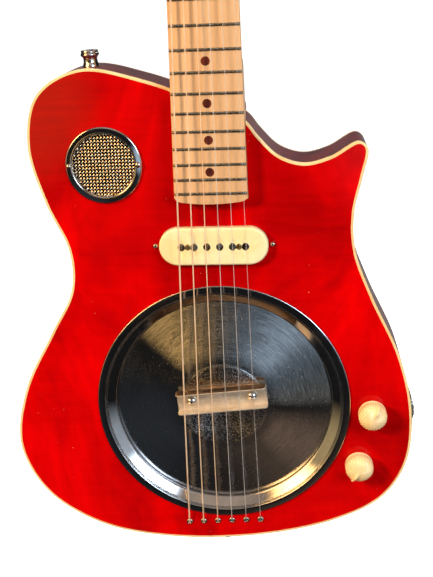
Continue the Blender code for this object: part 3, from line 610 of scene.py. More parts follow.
black_plastic = mottled(
    "black_plastic", (0.018, 0.018, 0.018), 0.42, 0.0, ((40, 200, 200), 0.6),
    ((0.012, 0.012, 0.012), (0.030, 0.029, 0.028)), (0.34, 0.52), ((1500,), 0.00003),
)
chrome_plate = mottled(
    "chrome_plate", (0.66, 0.66, 0.67), 0.06, 1.0, (60, 0.8),
    ((0.60, 0.60, 0.61), (0.72, 0.72, 0.72)), (0.2, 1.0, 0.035, 0.13),
    (((1400, 300, 120), 0.5), 0.000004),
)


def block(half_x, half_z, radius, steps=10):
    """A rectangle about the origin with rounded corners."""
    corners = [(half_x, half_z), (-half_x, half_z), (-half_x, -half_z), (half_x, -half_z)]
    return softened(corners, radius, True, steps)


def at(x, y, z):
    """The matrix of a move."""
    return Matrix.Translation((x, y, z))


def swing(degrees, axis):
    """The matrix of a turn about an axis."""
    return Matrix.Rotation(np.radians(degrees), 4, axis)


def edged(thickness, ease):
    """Profile of a plate's rounded upper edge, from its foot to its flat: (inset, height)."""
    return softened([(0, 0), (0, thickness), (3 * ease, thickness)], ease)


def placed(grid, matrix):
    """A grid carried by a 4x4 matrix."""
    matrix = np.array(matrix)
    return grid @ matrix[:3, :3].T + matrix[:3, 3]


def screw_head(radius, height, recess, matrix, steps=64):
    """A domed head with a cross recess, facing -Y: height falls off as a circle's, less the
    depth of two crossed slots with soft sides."""
    r = radius * np.sin(np.linspace(0, np.pi / 2, 26))[:, None]
    angle = circle(steps)[None, :]
    x, z = r * np.cos(angle), r * np.sin(angle)
    long, wide, soft = 0.62 * radius, 0.15 * radius, 0.10 * radius

    def inside(a, b):
        return np.clip((wide - a) / soft + 0.5, 0, 1) * np.clip((long - b) / soft + 0.5, 0, 1)

    cross = np.maximum(inside(np.abs(x), np.abs(z)), inside(np.abs(z), np.abs(x)))
    y = -height * np.sqrt(np.clip(1.04 - (r / radius) ** 2, 0, 1)) + recess * cross
    dome = points(x, y, z)
    foot = dome[-1:].copy()
    foot[..., 1] = 0.4
    return placed(np.concatenate([dome, foot]), matrix)


rear = swing(180, "Z")
cover_low, cover_high = box_of("control_cover")
cover_back = [(inset_by, cover_low.y + rise) for inset_by, rise in edged(cover_high.y - cover_low.y, 0.9)]
make("control_cover_plate", [drawn(stadium(*control_ends, 20), cover_back)], black_plastic, ["control_cover"])
cover_screws = [
    (end[0] + dx, end[1] + dz)
    for end, places in zip(control_ends, (((-16, 3), (16, 6)), ((-16, -6), (16, -3))))
    for dx, dz in places
]
make("control_cover_screws", [
    screw_head(2.6, 0.8, 0.7, at(x, cover_high.y, z) @ rear)
    for x, z in cover_screws
], black_plastic)

plate_low, plate_high = box_of("neck_plate")
plate_centre = centre_of("neck_plate")
half_x, half_z = (plate_high.x - plate_low.x) / 2, (plate_high.z - plate_low.z) / 2
plate_shape = block(half_x, half_z, 6) + (plate_centre.x, plate_centre.z)
plate_face = body_depth + 2.7
plate_profile = [(step, body_depth + 0.3 + rise) for step, rise in edged(2.4, 0.8)]
neck_bolts = [(x, last_fret + z) for x in (-19, 19) for z in (12, 52)]
make("neck_plate_chrome", [
    drawn(plate_shape, plate_profile),
    *[screw_head(4.2, 1.9, 1.3, at(x, plate_face, z) @ rear) for x, z in neck_bolts],
    *[bore(1.9, 18, plate_face, x, z, 16) for x, z in neck_bolts],
], chrome_plate, ["neck_plate"])


# ---- Strap buttons ----
# Turned brass, chromed: a wide foot, a waist and a dished rim, held by one screw each. One is on
# the bass shoulder and one at the tail.

button_profile = softened([
    (0.01, 1.5), (6.0, 1.5), (6.5, 0.8), (6.3, -0.9), (5.6, -2.4), (5.3, -4.8), (5.8, -6.7), (7.0, -7.6),
    (7.3, -8.6), (6.8, -9.6), (6.4, -10.0), (6.9, -10.6), (6.4, -11.9), (5.1, -12.1), (4.5, -11.3), (0.01, -11.1),
], 0.7)
for side, low_or_high, flip in (("upper", 1, swing(-90, "X")), ("lower", 0, swing(90, "X"))):
    box = box_of(f"strap_button_{side}")
    tip, middle = box[low_or_high].z, centre_of(f"strap_button_{side}")
    lean = swing(-3 if side == "upper" else 0, "Y")
    foot = tip + (-13.2 if side == "upper" else 13.2)
    spot = at(middle.x + (0.4 if side == "upper" else 0), middle.y, foot) @ lean @ flip
    make(f"strap_button_{side}_chrome", [
        placed(turned(button_profile, 72), spot),
        screw_head(3.4, 1.0, 0.9, spot @ at(0, -11.2, 0)),
    ], chrome_plate, [f"strap_button_{side}"])


# ---- Output jack ----
# A chromed square plate with two screws on the treble edge, and the threaded socket and its hex
# nut, which a plug enters.

nickel = mottled(
    "nickel", (0.60, 0.57, 0.51), 0.2, 1.0, (260, 0.6),
    ((0.50, 0.45, 0.37), (0.68, 0.66, 0.61)), (0.14, 0.30), (((2600, 600, 600), 0.3), 0.000008),
)

jack_low, jack_high = box_of("jack_plate")
jack_centre = centre_of("jack_plate")
sideways = at(jack_low.x, jack_centre.y, jack_centre.z) @ swing(90, "Z")
jack_thick = jack_high.x - jack_low.x
jack_plate = make(
    "jack_plate_chrome",
    [placed(drawn(block(15, 15, 4), [(step, -rise) for step, rise in edged(jack_thick, 0.6)]), sideways)],
    chrome_plate, ["jack_plate"],
)
carve(jack_plate, [placed(bore(5.0, 3, -5), sideways)])
make("jack_plate_screws", [
    screw_head(2.4, 0.9, 0.7, sideways @ at(reach_x, -jack_thick, -reach_x))
    for reach_x in (-11, 11)
], nickel)
six = circle(6)
hex_nut = drawn(softened(7.2 * points(np.cos(six), np.sin(six)), 0.6, True),
                [(0, -jack_thick - 0.05), (0, -jack_thick - 1.6), (0.5, -jack_thick - 2.0)])
socket_ring = softened([(3.3, 18), (4.6, 18), (4.6, -4.4), (3.3, -4.4)], 0.3, True)
jack = make("jack_socket", [placed(hex_nut, sideways)], nickel, ["output_jack"])
carve(jack, [placed(bore(4.65, 3, -9), sideways)])
make("jack_barrel", [(placed(turned(socket_ring, 48), sideways), "ring")], nickel)


# ---- Sound port ----
# A spun, chromed ring with two round-head screws, over woven wire cloth laid on the diagonal.
# The chamber behind it is lined with a near-black cup, which is painted shade for its dark inside.

port_x, port_z = port_centre.x, port_centre.z
port_profile = softened([
    (29.9, -0.1), (29.9, -1.1), (29.2, -1.8), (25.5, -2.3), (24.6, -2.0), (24.1, -1.0),
    (23.9, 0.3), (24.6, 0.3), (25.2, -0.1),
], 0.7, closed=True)
make("port_ring", [(turned(port_profile, 128, port_x, port_z), "ring")], chrome_plate, ["soundport_ring"])
make("port_screws", [
    screw_head(2.3, 1.6, 0.0, at(port_x + side * 26.9, -2.1, port_z))
    for side in (-1, 1)
], nickel)

wire_cloth = mottled(
    "wire_cloth", (0.80, 0.68, 0.50), 0.26, 1.0, (140, 0.8),
    ((0.80, 0.62, 0.38), (0.88, 0.78, 0.62)), (0.22, 0.32),
)


def cloth(radius, pitch, wire, turn, sides=6, steps=150):
    """Wires of one direction of a plain weave: each follows a chord of the circle and rises and
    falls as a cosine, in step with its neighbours by turns."""
    count = int(radius / pitch)
    number = np.arange(-count, count + 1)
    offset = (number + 0.5 * (turn > 0)) * pitch
    offset = offset[np.abs(offset) < 0.97 * radius]
    number = np.round(offset / pitch - 0.5 * (turn > 0)).astype(int)
    half = np.sqrt(radius ** 2 - offset ** 2)
    along = half[:, None] * np.linspace(-1, 1, steps)
    rise = 0.5 * wire * np.cos(np.pi * along / pitch + np.pi * number[:, None]) * (1 if turn > 0 else -1)
    around = circle(sides)
    across = offset[:, None, None] + 0.5 * wire * np.cos(around)
    depth = 1.0 + rise[..., None] + 0.5 * wire * np.sin(around)
    along = along[..., None]
    cos, sin = np.cos(np.radians(turn)), np.sin(np.radians(turn))
    x, z = along * cos - across * sin, along * sin + across * cos
    return list(points(x + port_x, depth, z + port_z))


make("port_cloth", cloth(24.2, 1.85, 0.62, 45) + cloth(24.2, 1.85, 0.62, -45),
     wire_cloth, ["soundport_screen"])

# Painted shade: a near-black cup behind the wire cloth stands in for the shade inside the chamber.
chamber_painted_shade = mottled(
    "chamber_painted_shade", (0.010, 0.006, 0.005), 0.9, 0.0, (900,),
    ((0.006, 0.004, 0.003), (0.020, 0.012, 0.010)), None, 0.0002,
)
cup = softened([(0.01, 20), (25.2, 20), (25.2, 3.8), (26, 3.8), (26, 21), (0.01, 21)], 2)
make("port_chamber_painted_shade_cup", [turned(cup, 64, port_x, port_z)], chamber_painted_shade)


# ---- Resonator ----
# Two spinnings: a flat rim with fine beads and a bevel, and the dish, which rises to a flat
# disc in the middle. Both are polished on the lathe, which leaves rings of fine scratches.


def brushed_round(tree, shader):
    """Stretch a metal's highlights across the scratches that run round the piece."""
    tangent = add(tree, "Tangent", direction_type="UV_MAP", uv_map="UVMap")
    tree.links.new(tangent.outputs[0], shader.inputs["Tangent"])


spun_metal, tree, shader, place = finish(
    "spun_metal", (0.50, 0.50, 0.51), 0.2, 1.0, anisotropic=0.75, anisotropic_rotation=0.25
)
round_and_out = add(tree, "UVMap", uv_map="UVMap").outputs[0]
rings = streaked(tree, round_and_out, (9, 420, 0))
arcs = streaked(tree, round_and_out, (26, 1300, 0), 0.1)
haze = streaked(tree, place, 22, 0.9)
grit = use(tree, specks, Vector=place, Per_metre=900.0, Size=0.20)
metal = blend(tree, haze, (0.42, 0.42, 0.43, 1), (0.55, 0.55, 0.56, 1))
metal = blend(tree, times(tree, arcs, 0.45), metal, (0.66, 0.66, 0.67, 1))
metal = blend(tree, times(tree, grit, 0.5), metal, (0.85, 0.80, 0.72, 1))
from_middle = add(tree, "VectorMath", [(0, place), (1, centre_of("resonator_cone") * mm)], operation="DISTANCE")
on_disc = spread(tree, from_middle.outputs["Value"], 0.0365, 0.0350)
fluff = streaked(tree, place, 1300, 0.3)
fluff = times(tree, on_disc, spread(tree, fluff, 0.45, 0.95, 0.05, 0.5))
metal = blend(tree, times(tree, fluff, 0.8), metal, (0.62, 0.58, 0.52, 1))
polish = calc(tree, "ADD", spread(tree, haze, 0, 1, 0.05, 0.11), times(tree, grit, 0.3))
polish = calc(tree, "ADD", polish, times(tree, fluff, 0.7))
dress(tree, shader, metal, polish, calc(tree, "ADD", rings, times(tree, arcs, 0.5)), 0.000014)
brushed_round(tree, shader)

rim_chrome, tree, shader, place = finish(
    "rim_chrome", (0.56, 0.56, 0.57), 0.08, 1.0, anisotropic=0.4, anisotropic_rotation=0.25
)
round_and_out = add(tree, "UVMap", uv_map="UVMap").outputs[0]
lathe = streaked(tree, round_and_out, (14, 260, 0))
haze = streaked(tree, place, 30, 0.9)
dress(tree, shader, blend(tree, haze, (0.48, 0.48, 0.49, 1), (0.60, 0.60, 0.61, 1)),
      spread(tree, haze, 0, 1, 0.04, 0.12), lathe, 0.000015)
brushed_round(tree, shader)

rim_profile = softened([
    (105.3, 0.0), (105.3, -1.2), (104.7, -1.5), (99.4, -1.5), (99.0, -1.1), (98.5, -1.1),
    (98.2, -0.6), (97.7, -0.6), (97.4, 0.0), (90.9, 4.0), (90.1, 4.8), (90.0, 8.0), (91, 8.0),
    (98.6, 0.6), (99.2, 0.0),
], 0.5, closed=True)
make("resonator_rim_spun", [(turned(rim_profile, 256, resonator_centre.x, resonator_centre.z), "ring")],
     rim_chrome, ["resonator_rim"])
cone_centre = centre_of("resonator_cone")
out_from = np.linspace(36.2, 90, 55)
slope = np.clip(0.03 + 0.14 * (out_from - 36.2) / 16, 0, 0.163)
fall = -0.12 + np.concatenate([[0], np.cumsum((slope[1:] + slope[:-1]) / 2 * np.diff(out_from))])
dish_rows = np.concatenate([
    points(np.linspace(0.02, 34.6, 24), -0.45), [(35.2, -0.41), (35.7, -0.30), (36.0, -0.18)],
    points(out_from, fall), [(92, 8.6), (97.5, 8.7), (97.5, 9.7), (91.3, 9.7), (36, 1.3), (0.02, 0.8)],
])
make("resonator_dish", [turned(dish_rows, 256, cone_centre.x, cone_centre.z)], spun_metal, ["resonator_cone"])


# ---- Bridge ----
# An aluminium channel on a maple biscuit, held to the disc by two round-head screws through its
# floor. The strings lie on the lip of its tail side.

aluminium, tree, shader, place = finish("aluminium", (0.86, 0.76, 0.62), 0.42, 0.75)
drag = streaked(tree, place, (300, 900, 900), 0.1)
bloom = streaked(tree, place, 90, 0.7)
dress(tree, shader, blend(tree, bloom, (0.78, 0.66, 0.50, 1), (0.96, 0.87, 0.74, 1)),
      spread(tree, drag, 0, 1, 0.38, 0.48), drag, 0.000004)

bridge_middle = centre_of("bridge_channel")
bridge_top = box_of("bridge_channel")[0].y
bridge_angle = 5.3
tilt = at(bridge_middle.x, 0, bridge_middle.z) @ swing(-bridge_angle, "Y")
half_length, half_width, wall, channel_height = 37.2, 9.2, 1.6, 9.5
floor_y = bridge_top + channel_height
along = half_length * np.sin(np.linspace(-np.pi / 2, np.pi / 2, 41))
corner = np.clip((np.abs(along) - half_length + 3) / 3, 0, 1)
lip = bridge_top + 3 * (1 - np.sqrt(1 - 0.985 * corner ** 2))
sections = []
for x, top_y in zip(along, lip):
    section = softened([
        (top_y, half_width), (floor_y, half_width), (floor_y, -half_width), (top_y, -half_width),
        (top_y, wall - half_width), (floor_y - wall, wall - half_width),
        (floor_y - wall, half_width - wall), (top_y, half_width - wall),
    ], 0.7, closed=True, steps=4)
    sections.append(points(x, section[:, 0], section[:, 1]))
channel = make("bridge_channel_aluminium", [placed(np.stack(sections), tilt)], aluminium, ["bridge_channel"])
# Painted shade: the channel's outer side walls take a darker, browner copy of the aluminium, for the shade they
# stand in.
outer_wall_painted_shade = mottled(
    "aluminium_painted_shade", (0.20, 0.11, 0.05), 0.24, 0.9, ((40, 300, 300), 0.2),
    ((0.07, 0.04, 0.02), (0.34, 0.19, 0.08)), (0.2, 0.34),
)
channel.data.materials.append(outer_wall_painted_shade)
# Faces on the outer side walls get the painted shade material.
middles = np.empty(3 * len(channel.data.polygons), np.float32)
channel.data.polygons.foreach_get("center", middles)
middles = placed(middles.reshape(-1, 3) / mm, tilt.inverted())
outer = np.abs(middles[:, 2]) > half_width - 0.15
channel.data.polygons.foreach_set("material_index", outer.astype(np.int32))
seat = floor_y - wall
make("bridge_screws", [
    screw_head(4.3, 3.3, 0.5, tilt @ at(side * 25.2, seat, 0))
    for side in (-1, 1)
], chrome_plate, ["bridge_screw_bass", "bridge_screw_treble"])

maple, tree, shader, place = finish("maple", (0.80, 0.50, 0.24), 0.36, coat_weight=0.35, coat_roughness=0.12)
grain = streaked(tree, place, (240, 240, 5), 0.5)
bands = streaked(tree, place, (55, 55, 3), 1.4)
pores = streaked(tree, place, (1900, 1900, 60))
wood = blend(tree, bands, (0.76, 0.43, 0.20, 1), (0.94, 0.60, 0.33, 1))
wood = blend(tree, times(tree, grain, 0.45), wood, (0.98, 0.68, 0.41, 1))
wood = blend(tree, times(tree, pores, 0.16), wood, (0.50, 0.26, 0.11, 1))
dress(tree, shader, wood, spread(tree, grain, 0, 1, 0.30, 0.42), pores, 0.00002)

biscuit_low, biscuit_high = box_of("bridge_biscuit")
make("bridge_biscuit_maple",
     [placed(slab(block(32, 7, 7), biscuit_low.y, biscuit_high.y), tilt)], maple,
     ["bridge_biscuit"])


# ---- Pickup ----
# A moulded cream cover with a tapered facet round each pole, the six pole pieces flush in it,
# two small brass screws that hold the cover, and the coil under it. All of it rides up and down.

cream_plastic = mottled(
    "cream_plastic", (1.0, 0.90, 0.55), 0.28, 0.0, (30, 0.5),
    ((1.0, 0.84, 0.44), (1.0, 0.93, 0.60)), (0.22, 0.36), 0.00003,
    coat_weight=0.5, coat_roughness=0.06, subsurface_weight=0.12, subsurface_scale=0.002,
)

cover_low, cover_high = box_of("pickup_cover")
cover_top = cover_low.y
outline = stadium(*cover_ends, cover_radius, 40, 160)
edge = [(step, cover_high.y - rise) for step, rise in edged(cover_high.y - cover_top, 2.0)]
shell_rows = drawn(outline, edge)
spine = outline.copy()
spine[:, 0] = np.clip(outline[:, 0], cover_ends[0][0], cover_ends[1][0])
spine[:, 1] = pickup_centre.z
share = np.linspace(0, 1, 31)[1:, None, None]
flat = inset(outline, edge[-1][0])
flat = flat * (1 - share) + spine * share
pole_x = (np.arange(6) - 2.5) * 10.05 + pickup_centre.x
off_x = np.abs(flat[..., 0:1] - pole_x).min(axis=-1) / 2.3
off_z = np.abs(flat[..., 1] - pickup_centre.z) / 10.8
facet = 1.2 * np.clip(1 - off_x - off_z, 0, 1)
top_rows = points(flat[..., 0], cover_top + facet, flat[..., 1])
pickup_body = "pickup_assembly"
make("pickup_cover_cream", [np.concatenate([shell_rows, top_rows])], cream_plastic,
     ["pickup_cover"], pickup_body)

pole_steel = mottled(
    "pole_steel", (0.42, 0.42, 0.41), 0.25, 1.0, (110, 0.6),
    ((0.30, 0.27, 0.22), (0.50, 0.52, 0.53)), (0.18, 0.36), (((1500, 400, 1500), 0.4), 0.000010),
)
pole_top = cover_top - 0.05
pole_profile = softened([(0.01, pole_top), (3.0, pole_top), (3.0, pole_top + 19)], 0.25)
make("pickup_poles", [turned(pole_profile, 40, x, pickup_centre.z) for x in pole_x],
     pole_steel, (), pickup_body)

brass = mottled(
    "brass", (0.62, 0.44, 0.16), 0.3, 1.0, (500, 0.6),
    ((0.34, 0.22, 0.07), (0.70, 0.52, 0.22)), (0.22, 0.42),
)
make("pickup_cover_screws", [
    screw_head(2.5, 0.5, 0.3, at(x, cover_top + 0.1, pickup_centre.z))
    for x in (pole_x[0] + 5.0, pole_x[4] + 5.0)
], brass, (), pickup_body)
base = block(52, 10, 5, 8) + (pickup_centre.x, pickup_centre.z)
make("pickup_coil", [
    slab(base, 10, 12),
    slab(stadium(*cover_ends, 10), -3.6, 10),
], black_plastic, ["pickup_bobbin"], pickup_body)
for side, centre in pickup_screws.items():
    low, high = box_of(f"pickup_screw_{side}")
    shank = softened([(0.01, -0.3), (1.5, -0.3), (1.5, high.y)], 0.2)
    make(f"pickup_height_screw_{side}", [
        screw_head(2.0, 1.5, 0.7, at(centre.x, -0.3, centre.z)),
        turned(shank, 24, centre.x, centre.z),
    ], nickel, [f"pickup_screw_{side}"], f"pickup_screw_{side}")


# ---- Knobs ----
# Moulded cream bells on a flared foot. Fine flutes run together at the point, and a raised
# pointer shows the setting.

knob_cream = mottled(
    "knob_cream", (1.0, 0.80, 0.46), 0.22, 0.0, (90, 0.4),
    ((1.0, 0.74, 0.36), (1.0, 0.80, 0.46)), (0.16, 0.32), 0.00002,
    coat_weight=1.0, coat_roughness=0.05,
)

knob_turns = {"volume": 25.0, "tone": -147.0}
for label, centre in knob_centres.items():
    profile = softened([
        (0.02, -0.8), (11.0, -0.8), (11.6, -1.3), (11.6, -2.4), (11.1, -3.2), (11.5, -6.0),
        (11.3, -9.8), (9.6, -12.6), (5.8, -14.4), (2.0, -15.1), (0.02, -15.3),
    ], 1.6, steps=6)
    angle = circle(288)
    radius, y = profile[:, 0:1], profile[:, 1:2]
    ripple = np.clip((-y - 4) / 5, 0, 1) * np.clip(radius / 3, 0, 1)
    flute = 0.75 * ripple * (np.abs(np.sin(14 * angle)) - 0.5)
    off_pointer = np.angle(np.exp(1j * (angle - np.pi / 2 + np.radians(knob_turns[label]))))
    ridge = np.exp(-(off_pointer * radius / 1.3) ** 2) * (np.cos(off_pointer) > 0)
    ridge = 1.8 * ridge * np.clip((radius - 1.0) / 5, 0, 1) * np.clip((-y - 3) / 3, 0, 1)
    swollen = radius + flute + 0.5 * ridge
    grid = points(centre.x + swollen * np.cos(angle), y - ridge, centre.z + swollen * np.sin(angle))
    make(f"{label}_knob_cream", [grid, bore(3.0, -1.0, 12, centre.x, centre.z, 24)],
         knob_cream, [f"{label}_knob"], f"{label}_knob")


# ---- Neck ----
# One piece of maple: a shaft with a half-oval back, a square heel in the pocket, and a tilted
# headstock. The truss rod keeps its CAD shape, in nickel, under the fingerboard.

neck_top, back_at_nut, back_at_heel, heel_back = -3.5, 11.5, 13.3, 16
z_rows = np.linspace(6.0, -400.0, 60)
depth_rows = back_at_nut + (back_at_heel - back_at_nut) * np.clip(-z_rows / 324, 0, 1)
angle = np.linspace(0, np.pi, 49)
half = half_board(z_rows)[:, None]
swell = (depth_rows[:, None] - neck_top) * np.sin(angle) ** 0.8
shaft = points(-half * np.cos(angle), neck_top + swell, z_rows[:, None])
neck = make("neck_maple", [shaft], maple, ["neck"])
heel_rows = []
for z, depth in ((-6, heel_back), (84, heel_back), (90, heel_back - 0.8), (95, back_at_heel - 1),
                 (98, back_at_heel - 5)):
    z = last_fret + z
    wide, high = half_board(z) - 0.05, neck_top + 0.1
    section = softened([(-wide, high), (wide, high), (wide, depth), (-wide, depth)], 1.2, True)
    heel_rows.append(points(section[:, 0], section[:, 1], z))
carve(neck, [np.stack(heel_rows)], "UNION")
head_matrix = at(0, neck_top, 5.1) @ swing(-10, "X")
head_side = [(21, -0.5), (22.5, 7), (29, 18), (36.5, 28), (38.5, 42), (38, 100), (36.5, 148), (31, 166), (17, 174)]
head_knots = np.array(head_side + [(0, 176)] + [(-x, z) for x, z in head_side[::-1]] + [(-20, -4), (20, -4)])
head_outline = closed_curve(head_knots, 10)
head_thickness = 14
head_edge = [(0.8, 0.0), (0.25, 0.2), (0.0, 0.8), (0.0, head_thickness - 1.2),
             (0.35, head_thickness - 0.35), (1.2, head_thickness)]
carve(neck, [placed(drawn(head_outline, head_edge), head_matrix)], "UNION")
joint_places = {joint["name"]: joint.get("pos_m") for joint in frame["joints"]}
post_local = {
    number: np.array(head_matrix.inverted() @ (Vector(joint_places[f"tuner_post_{number}_turn"]) / mm))
    for number in range(1, 7)
}
carve(neck, [placed(bore(4.0, -2, 16, local[0], local[2]), head_matrix) for local in post_local.values()])
rod = frame["nodes"]["truss_rod"]
rod.data.materials.clear()
rod.data.materials.append(nickel)


# ---- Fingerboard, dots, frets and nut ----
# A maple board with a rounded end, dark wood dots, 22 nickel-silver frets with bevelled ends and
# a bone nut with a slot for each string.

board_top, board_bottom = -9.5, -3.8
end_z = last_fret - 8.5
across = np.linspace(-1, 1, 41)
tail_corner = np.clip(np.abs(across) - 0.82, 0, 1) / 0.18
tail_x = across * half_board(end_z)
tail_z = end_z + 2.6 * across ** 2 + 3.2 * (1 - np.sqrt(1 - 0.98 * tail_corner ** 2))
board_outline = np.concatenate([points(tail_x, tail_z), [(half_nut, -0.3), (-half_nut, -0.3)]])
make("fingerboard_maple", [drawn(board_outline, [
    (0.0, board_bottom), (0.0, board_top + 0.5), (0.15, board_top + 0.15), (0.5, board_top),
])], maple, ["fingerboard"])

fret_silver = mottled(
    "fret_silver", (0.50, 0.48, 0.43), 0.22, 1.0, ((500, 120, 900), 0.3),
    ((0.30, 0.29, 0.24), (0.46, 0.44, 0.38)), (0.26, 0.34), 0.000001,
)


def fret_height(number):
    """Where a fret lies: each is a twelfth root of two nearer to the bridge than the last."""
    return -scale_length * (1 - 2 ** (-number / 12))


frets = []
for number in range(1, 23):
    z = fret_height(number)
    reach_x = half_board(z) - 0.2
    x = reach_x * np.sin(np.linspace(-np.pi / 2, np.pi / 2, 33))
    bevel = np.clip((reach_x - np.abs(x)) / 1.1, 0.04, 1) ** 0.6
    turn = np.linspace(0, np.pi, 15)
    y = board_top + 0.5 - (0.5 + 1.1 * bevel[:, None]) * np.sin(turn) ** 0.75
    frets.append(points(x[:, None], y, z + 1.2 * np.cos(turn)))
make("frets", frets, fret_silver)

rosewood = mottled(
    "rosewood", (0.14, 0.03, 0.018), 0.35, 0.0, ((700, 700, 90), 0.6),
    ((0.050, 0.007, 0.006), (0.15, 0.026, 0.014)), (0.28, 0.42), 0.00002,
    coat_weight=0.3,
)
dots = [(number, 0.0) for number in (3, 5, 7, 9, 15, 17, 19, 21)] + [(12, -12.5), (12, 12.5)]
dot_profile = softened([(0.01, -9.54), (3.4, -9.54), (3.4, -8.5)], 0.1)
make("position_dots", [
    turned(dot_profile, 40, x, (fret_height(number) + fret_height(number - 1)) / 2)
    for number, x in dots
], rosewood)

bone = mottled(
    "bone", (0.82, 0.74, 0.58), 0.3, 0.0, ((120, 900, 900), 0.3),
    ((0.72, 0.62, 0.44), (0.88, 0.82, 0.68)), (0.24, 0.4), 0.00001,
    coat_weight=0.3, subsurface_weight=0.1, subsurface_scale=0.002,
)
string_share = (3.5 - np.arange(1, 7)) / 2.5
x = np.linspace(-half_nut, half_nut, 281)
slot = np.exp(-((x[:, None] - 17 * string_share) / 0.55) ** 2).max(axis=1)
crown = -11.2 - 0.55 * (1 - slot) * np.clip((half_nut - np.abs(x)) / 2.5, 0.0, 1.0) ** 0.5
nut_rows = []
for x_here, y_here in zip(x, crown):
    section = softened([(-3.8, 0.0), (-3.8, 4.8), (y_here + 0.6, 4.8), (y_here, 0.0)], 0.7, True, 4)
    nut_rows.append(points(x_here, section[:, 0], section[:, 1]))
make("nut_bone", [np.stack(nut_rows)], bone, ["nut"])


# ---- Tuners and truss rod cover ----
# Three open-gear tuners to a stamped plate: a worm on each key's shaft turns a 15-tooth brass
# wheel on the post, and the string winds on the post at the front.

plate_front, plate_back = head_thickness + 0.3, head_thickness + 1.3
gear_y, wheel_pitch, worm_pitch, teeth, post_offset = 18.6, 5.625, 2.5, 15, 24
tooth_tip, tooth_root = 0.58, 0.76
for label, side, numbers in (("treble", 1, (1, 2, 3)), ("bass", -1, (6, 5, 4))):
    heights = [post_local[number][2] for number in numbers]
    post_x = side * post_offset
    middle = np.array((post_x, heights[1] - 3))
    shape = block(10.5, 53, 6) + middle
    profile = [(step, plate_front + rise) for step, rise in edged(1.0, 0.35)]
    tuner_plate = make(f"tuner_plate_{label}_nickel", [placed(drawn(shape, profile), head_matrix)],
                       nickel, [f"tuner_plate_{label}"])
    lugs, bores = [], []
    for height in heights:
        axle = height - wheel_pitch - worm_pitch
        for x in (post_x - 6, post_x + 6):
            rounding = [(0, plate_back - 0.5), (0, gear_y + 2.2), (0.3, gear_y + 3)]
            lugs.append(placed(drawn(block(0.8, 3.4, 0.5, 3) + (x, axle), rounding), head_matrix))
        across_post = at(post_x, gear_y, axle) @ swing(90, "Z")
        bores.append(placed(bore(2.0, -8, 8, steps=24), head_matrix @ across_post))
        bores.append(placed(bore(3.6, 10, 20, post_x, height, 24), head_matrix))
    carve(tuner_plate, lugs, "UNION")
    carve(tuner_plate, bores)
    make(f"tuner_plate_{label}_screws", [
        screw_head(1.9, 0.9, 0.6, head_matrix @ at(middle[0] + side * dx, plate_back, middle[1] + dz) @ rear, 40)
        for dx, dz in ((7.6, 49), (-7.6, 49), (-8, 14), (-8, -22), (7.6, -49), (-7.6, -49))
    ], nickel)

for number, local in post_local.items():
    side = 1 if number <= 3 else -1
    x, z = side * post_offset, local[2]
    axle = z - wheel_pitch - worm_pitch
    keyed = head_matrix @ at(x, gear_y, axle) @ swing(-90 * side, "Z")
    # Worm: its radius rises to the crest of a right-hand thread that moves on by one pitch a turn.
    pitch = 2 * np.pi * wheel_pitch / teeth
    angle = circle(40)
    run = np.linspace(-3.5, 3.5, 85)[:, None]
    phase = (run / pitch - angle / (2 * np.pi) + 0.25) % 1.0
    crest = np.clip((0.2 - np.abs(phase - 0.5)) / 0.1, 0, 1)
    thread = worm_pitch - tooth_root + crest * (tooth_tip + tooth_root)
    worm = points(run, thread * np.cos(angle), thread * np.sin(angle))
    shaft_profile = softened([
        (0.01, -7.6), (1.6, -7.6), (1.6, 18.2), (2.8, 18.2), (2.8, 20.0), (2.1, 20.6), (0.01, 20.6),
    ], 0.3)
    make(f"tuner_shaft_{number}", [
        placed(worm, head_matrix @ at(x, gear_y, axle)),
        placed(turned(shaft_profile, 32), keyed),
    ], nickel, (), f"tuner_key_{number}")
    # Button: an oval section whose width and thickness swell and close along the key.
    t = np.linspace(0, 1, 33)[:, None]
    wide = 9.0 * (1 - (2 * t - 1) ** 4) ** 0.5 * (0.72 + 0.28 * np.sin(np.pi * t))
    thick = wide * 0.42
    around = circle(48)
    button = points(thick * np.cos(around), 20.4 + 15.6 * t, wide * np.sin(around))
    make(f"tuner_button_{number}", [placed(button, keyed)], cream_plastic,
         [f"tuner_key_{number}"], f"tuner_key_{number}")
    post_profile = softened([
        (0.01, -13.0), (2.9, -13.0), (3.0, -12.2), (2.75, -10.0), (2.75, -5.0), (3.0, -3.4), (3.0, 17.2),
        (2.2, 17.2), (2.2, 20.4), (0.01, 20.4),
    ], 0.4)
    make(f"tuner_spindle_{number}", [placed(turned(post_profile, 40, x, z), head_matrix)], nickel,
         [f"tuner_post_{number}"], f"tuner_post_{number}")
    # Wheel: the radius goes from root to tip and back once for each tooth.
    angle = circle(teeth * 10) - np.pi / 2
    tooth = np.abs(((angle + np.pi / 2) * teeth / (2 * np.pi) + 0.5) % 1.0 - 0.5)
    rim = wheel_pitch - tooth_root + (tooth_tip + tooth_root) * np.clip((0.27 - tooth) / 0.17, 0, 1)
    wheel = points(x + rim * np.cos(angle), z + rim * np.sin(angle))
    make(f"tuner_wheel_{number}", [
        placed(slab(wheel, gear_y - 1.2, gear_y + 1.2), head_matrix),
        screw_head(2.4, 1.0, 0.7, head_matrix @ at(x, gear_y + 1.1, z) @ rear, 40),
    ], brass, (), f"tuner_post_{number}")

bell = softened([(-7.5, 9), (7.5, 9), (6.6, 22), (3.0, 38), (-3.0, 38), (-6.6, 22)], 4, True, 10)
make("truss_rod_cover_plate", [
    placed(drawn(bell, [(0, -0.3), (0, -1.6), (0.3, -2.0)]), head_matrix),
], black_plastic, ["truss_rod_cover"])
make("truss_rod_cover_screws", [
    screw_head(1.5, 0.5, 0.5, head_matrix @ at(x, -2.0, z), 40)
    for x, z in ((0, 34), (-5, 12.5), (5, 12.5))
], nickel)


# ---- Ferrules and strings ----
# Each string comes up through a domed ferrule, bends over the bridge's tail lip, runs to the nut
# and winds round its post. The three heavy ones are wrapped with bronze wire.

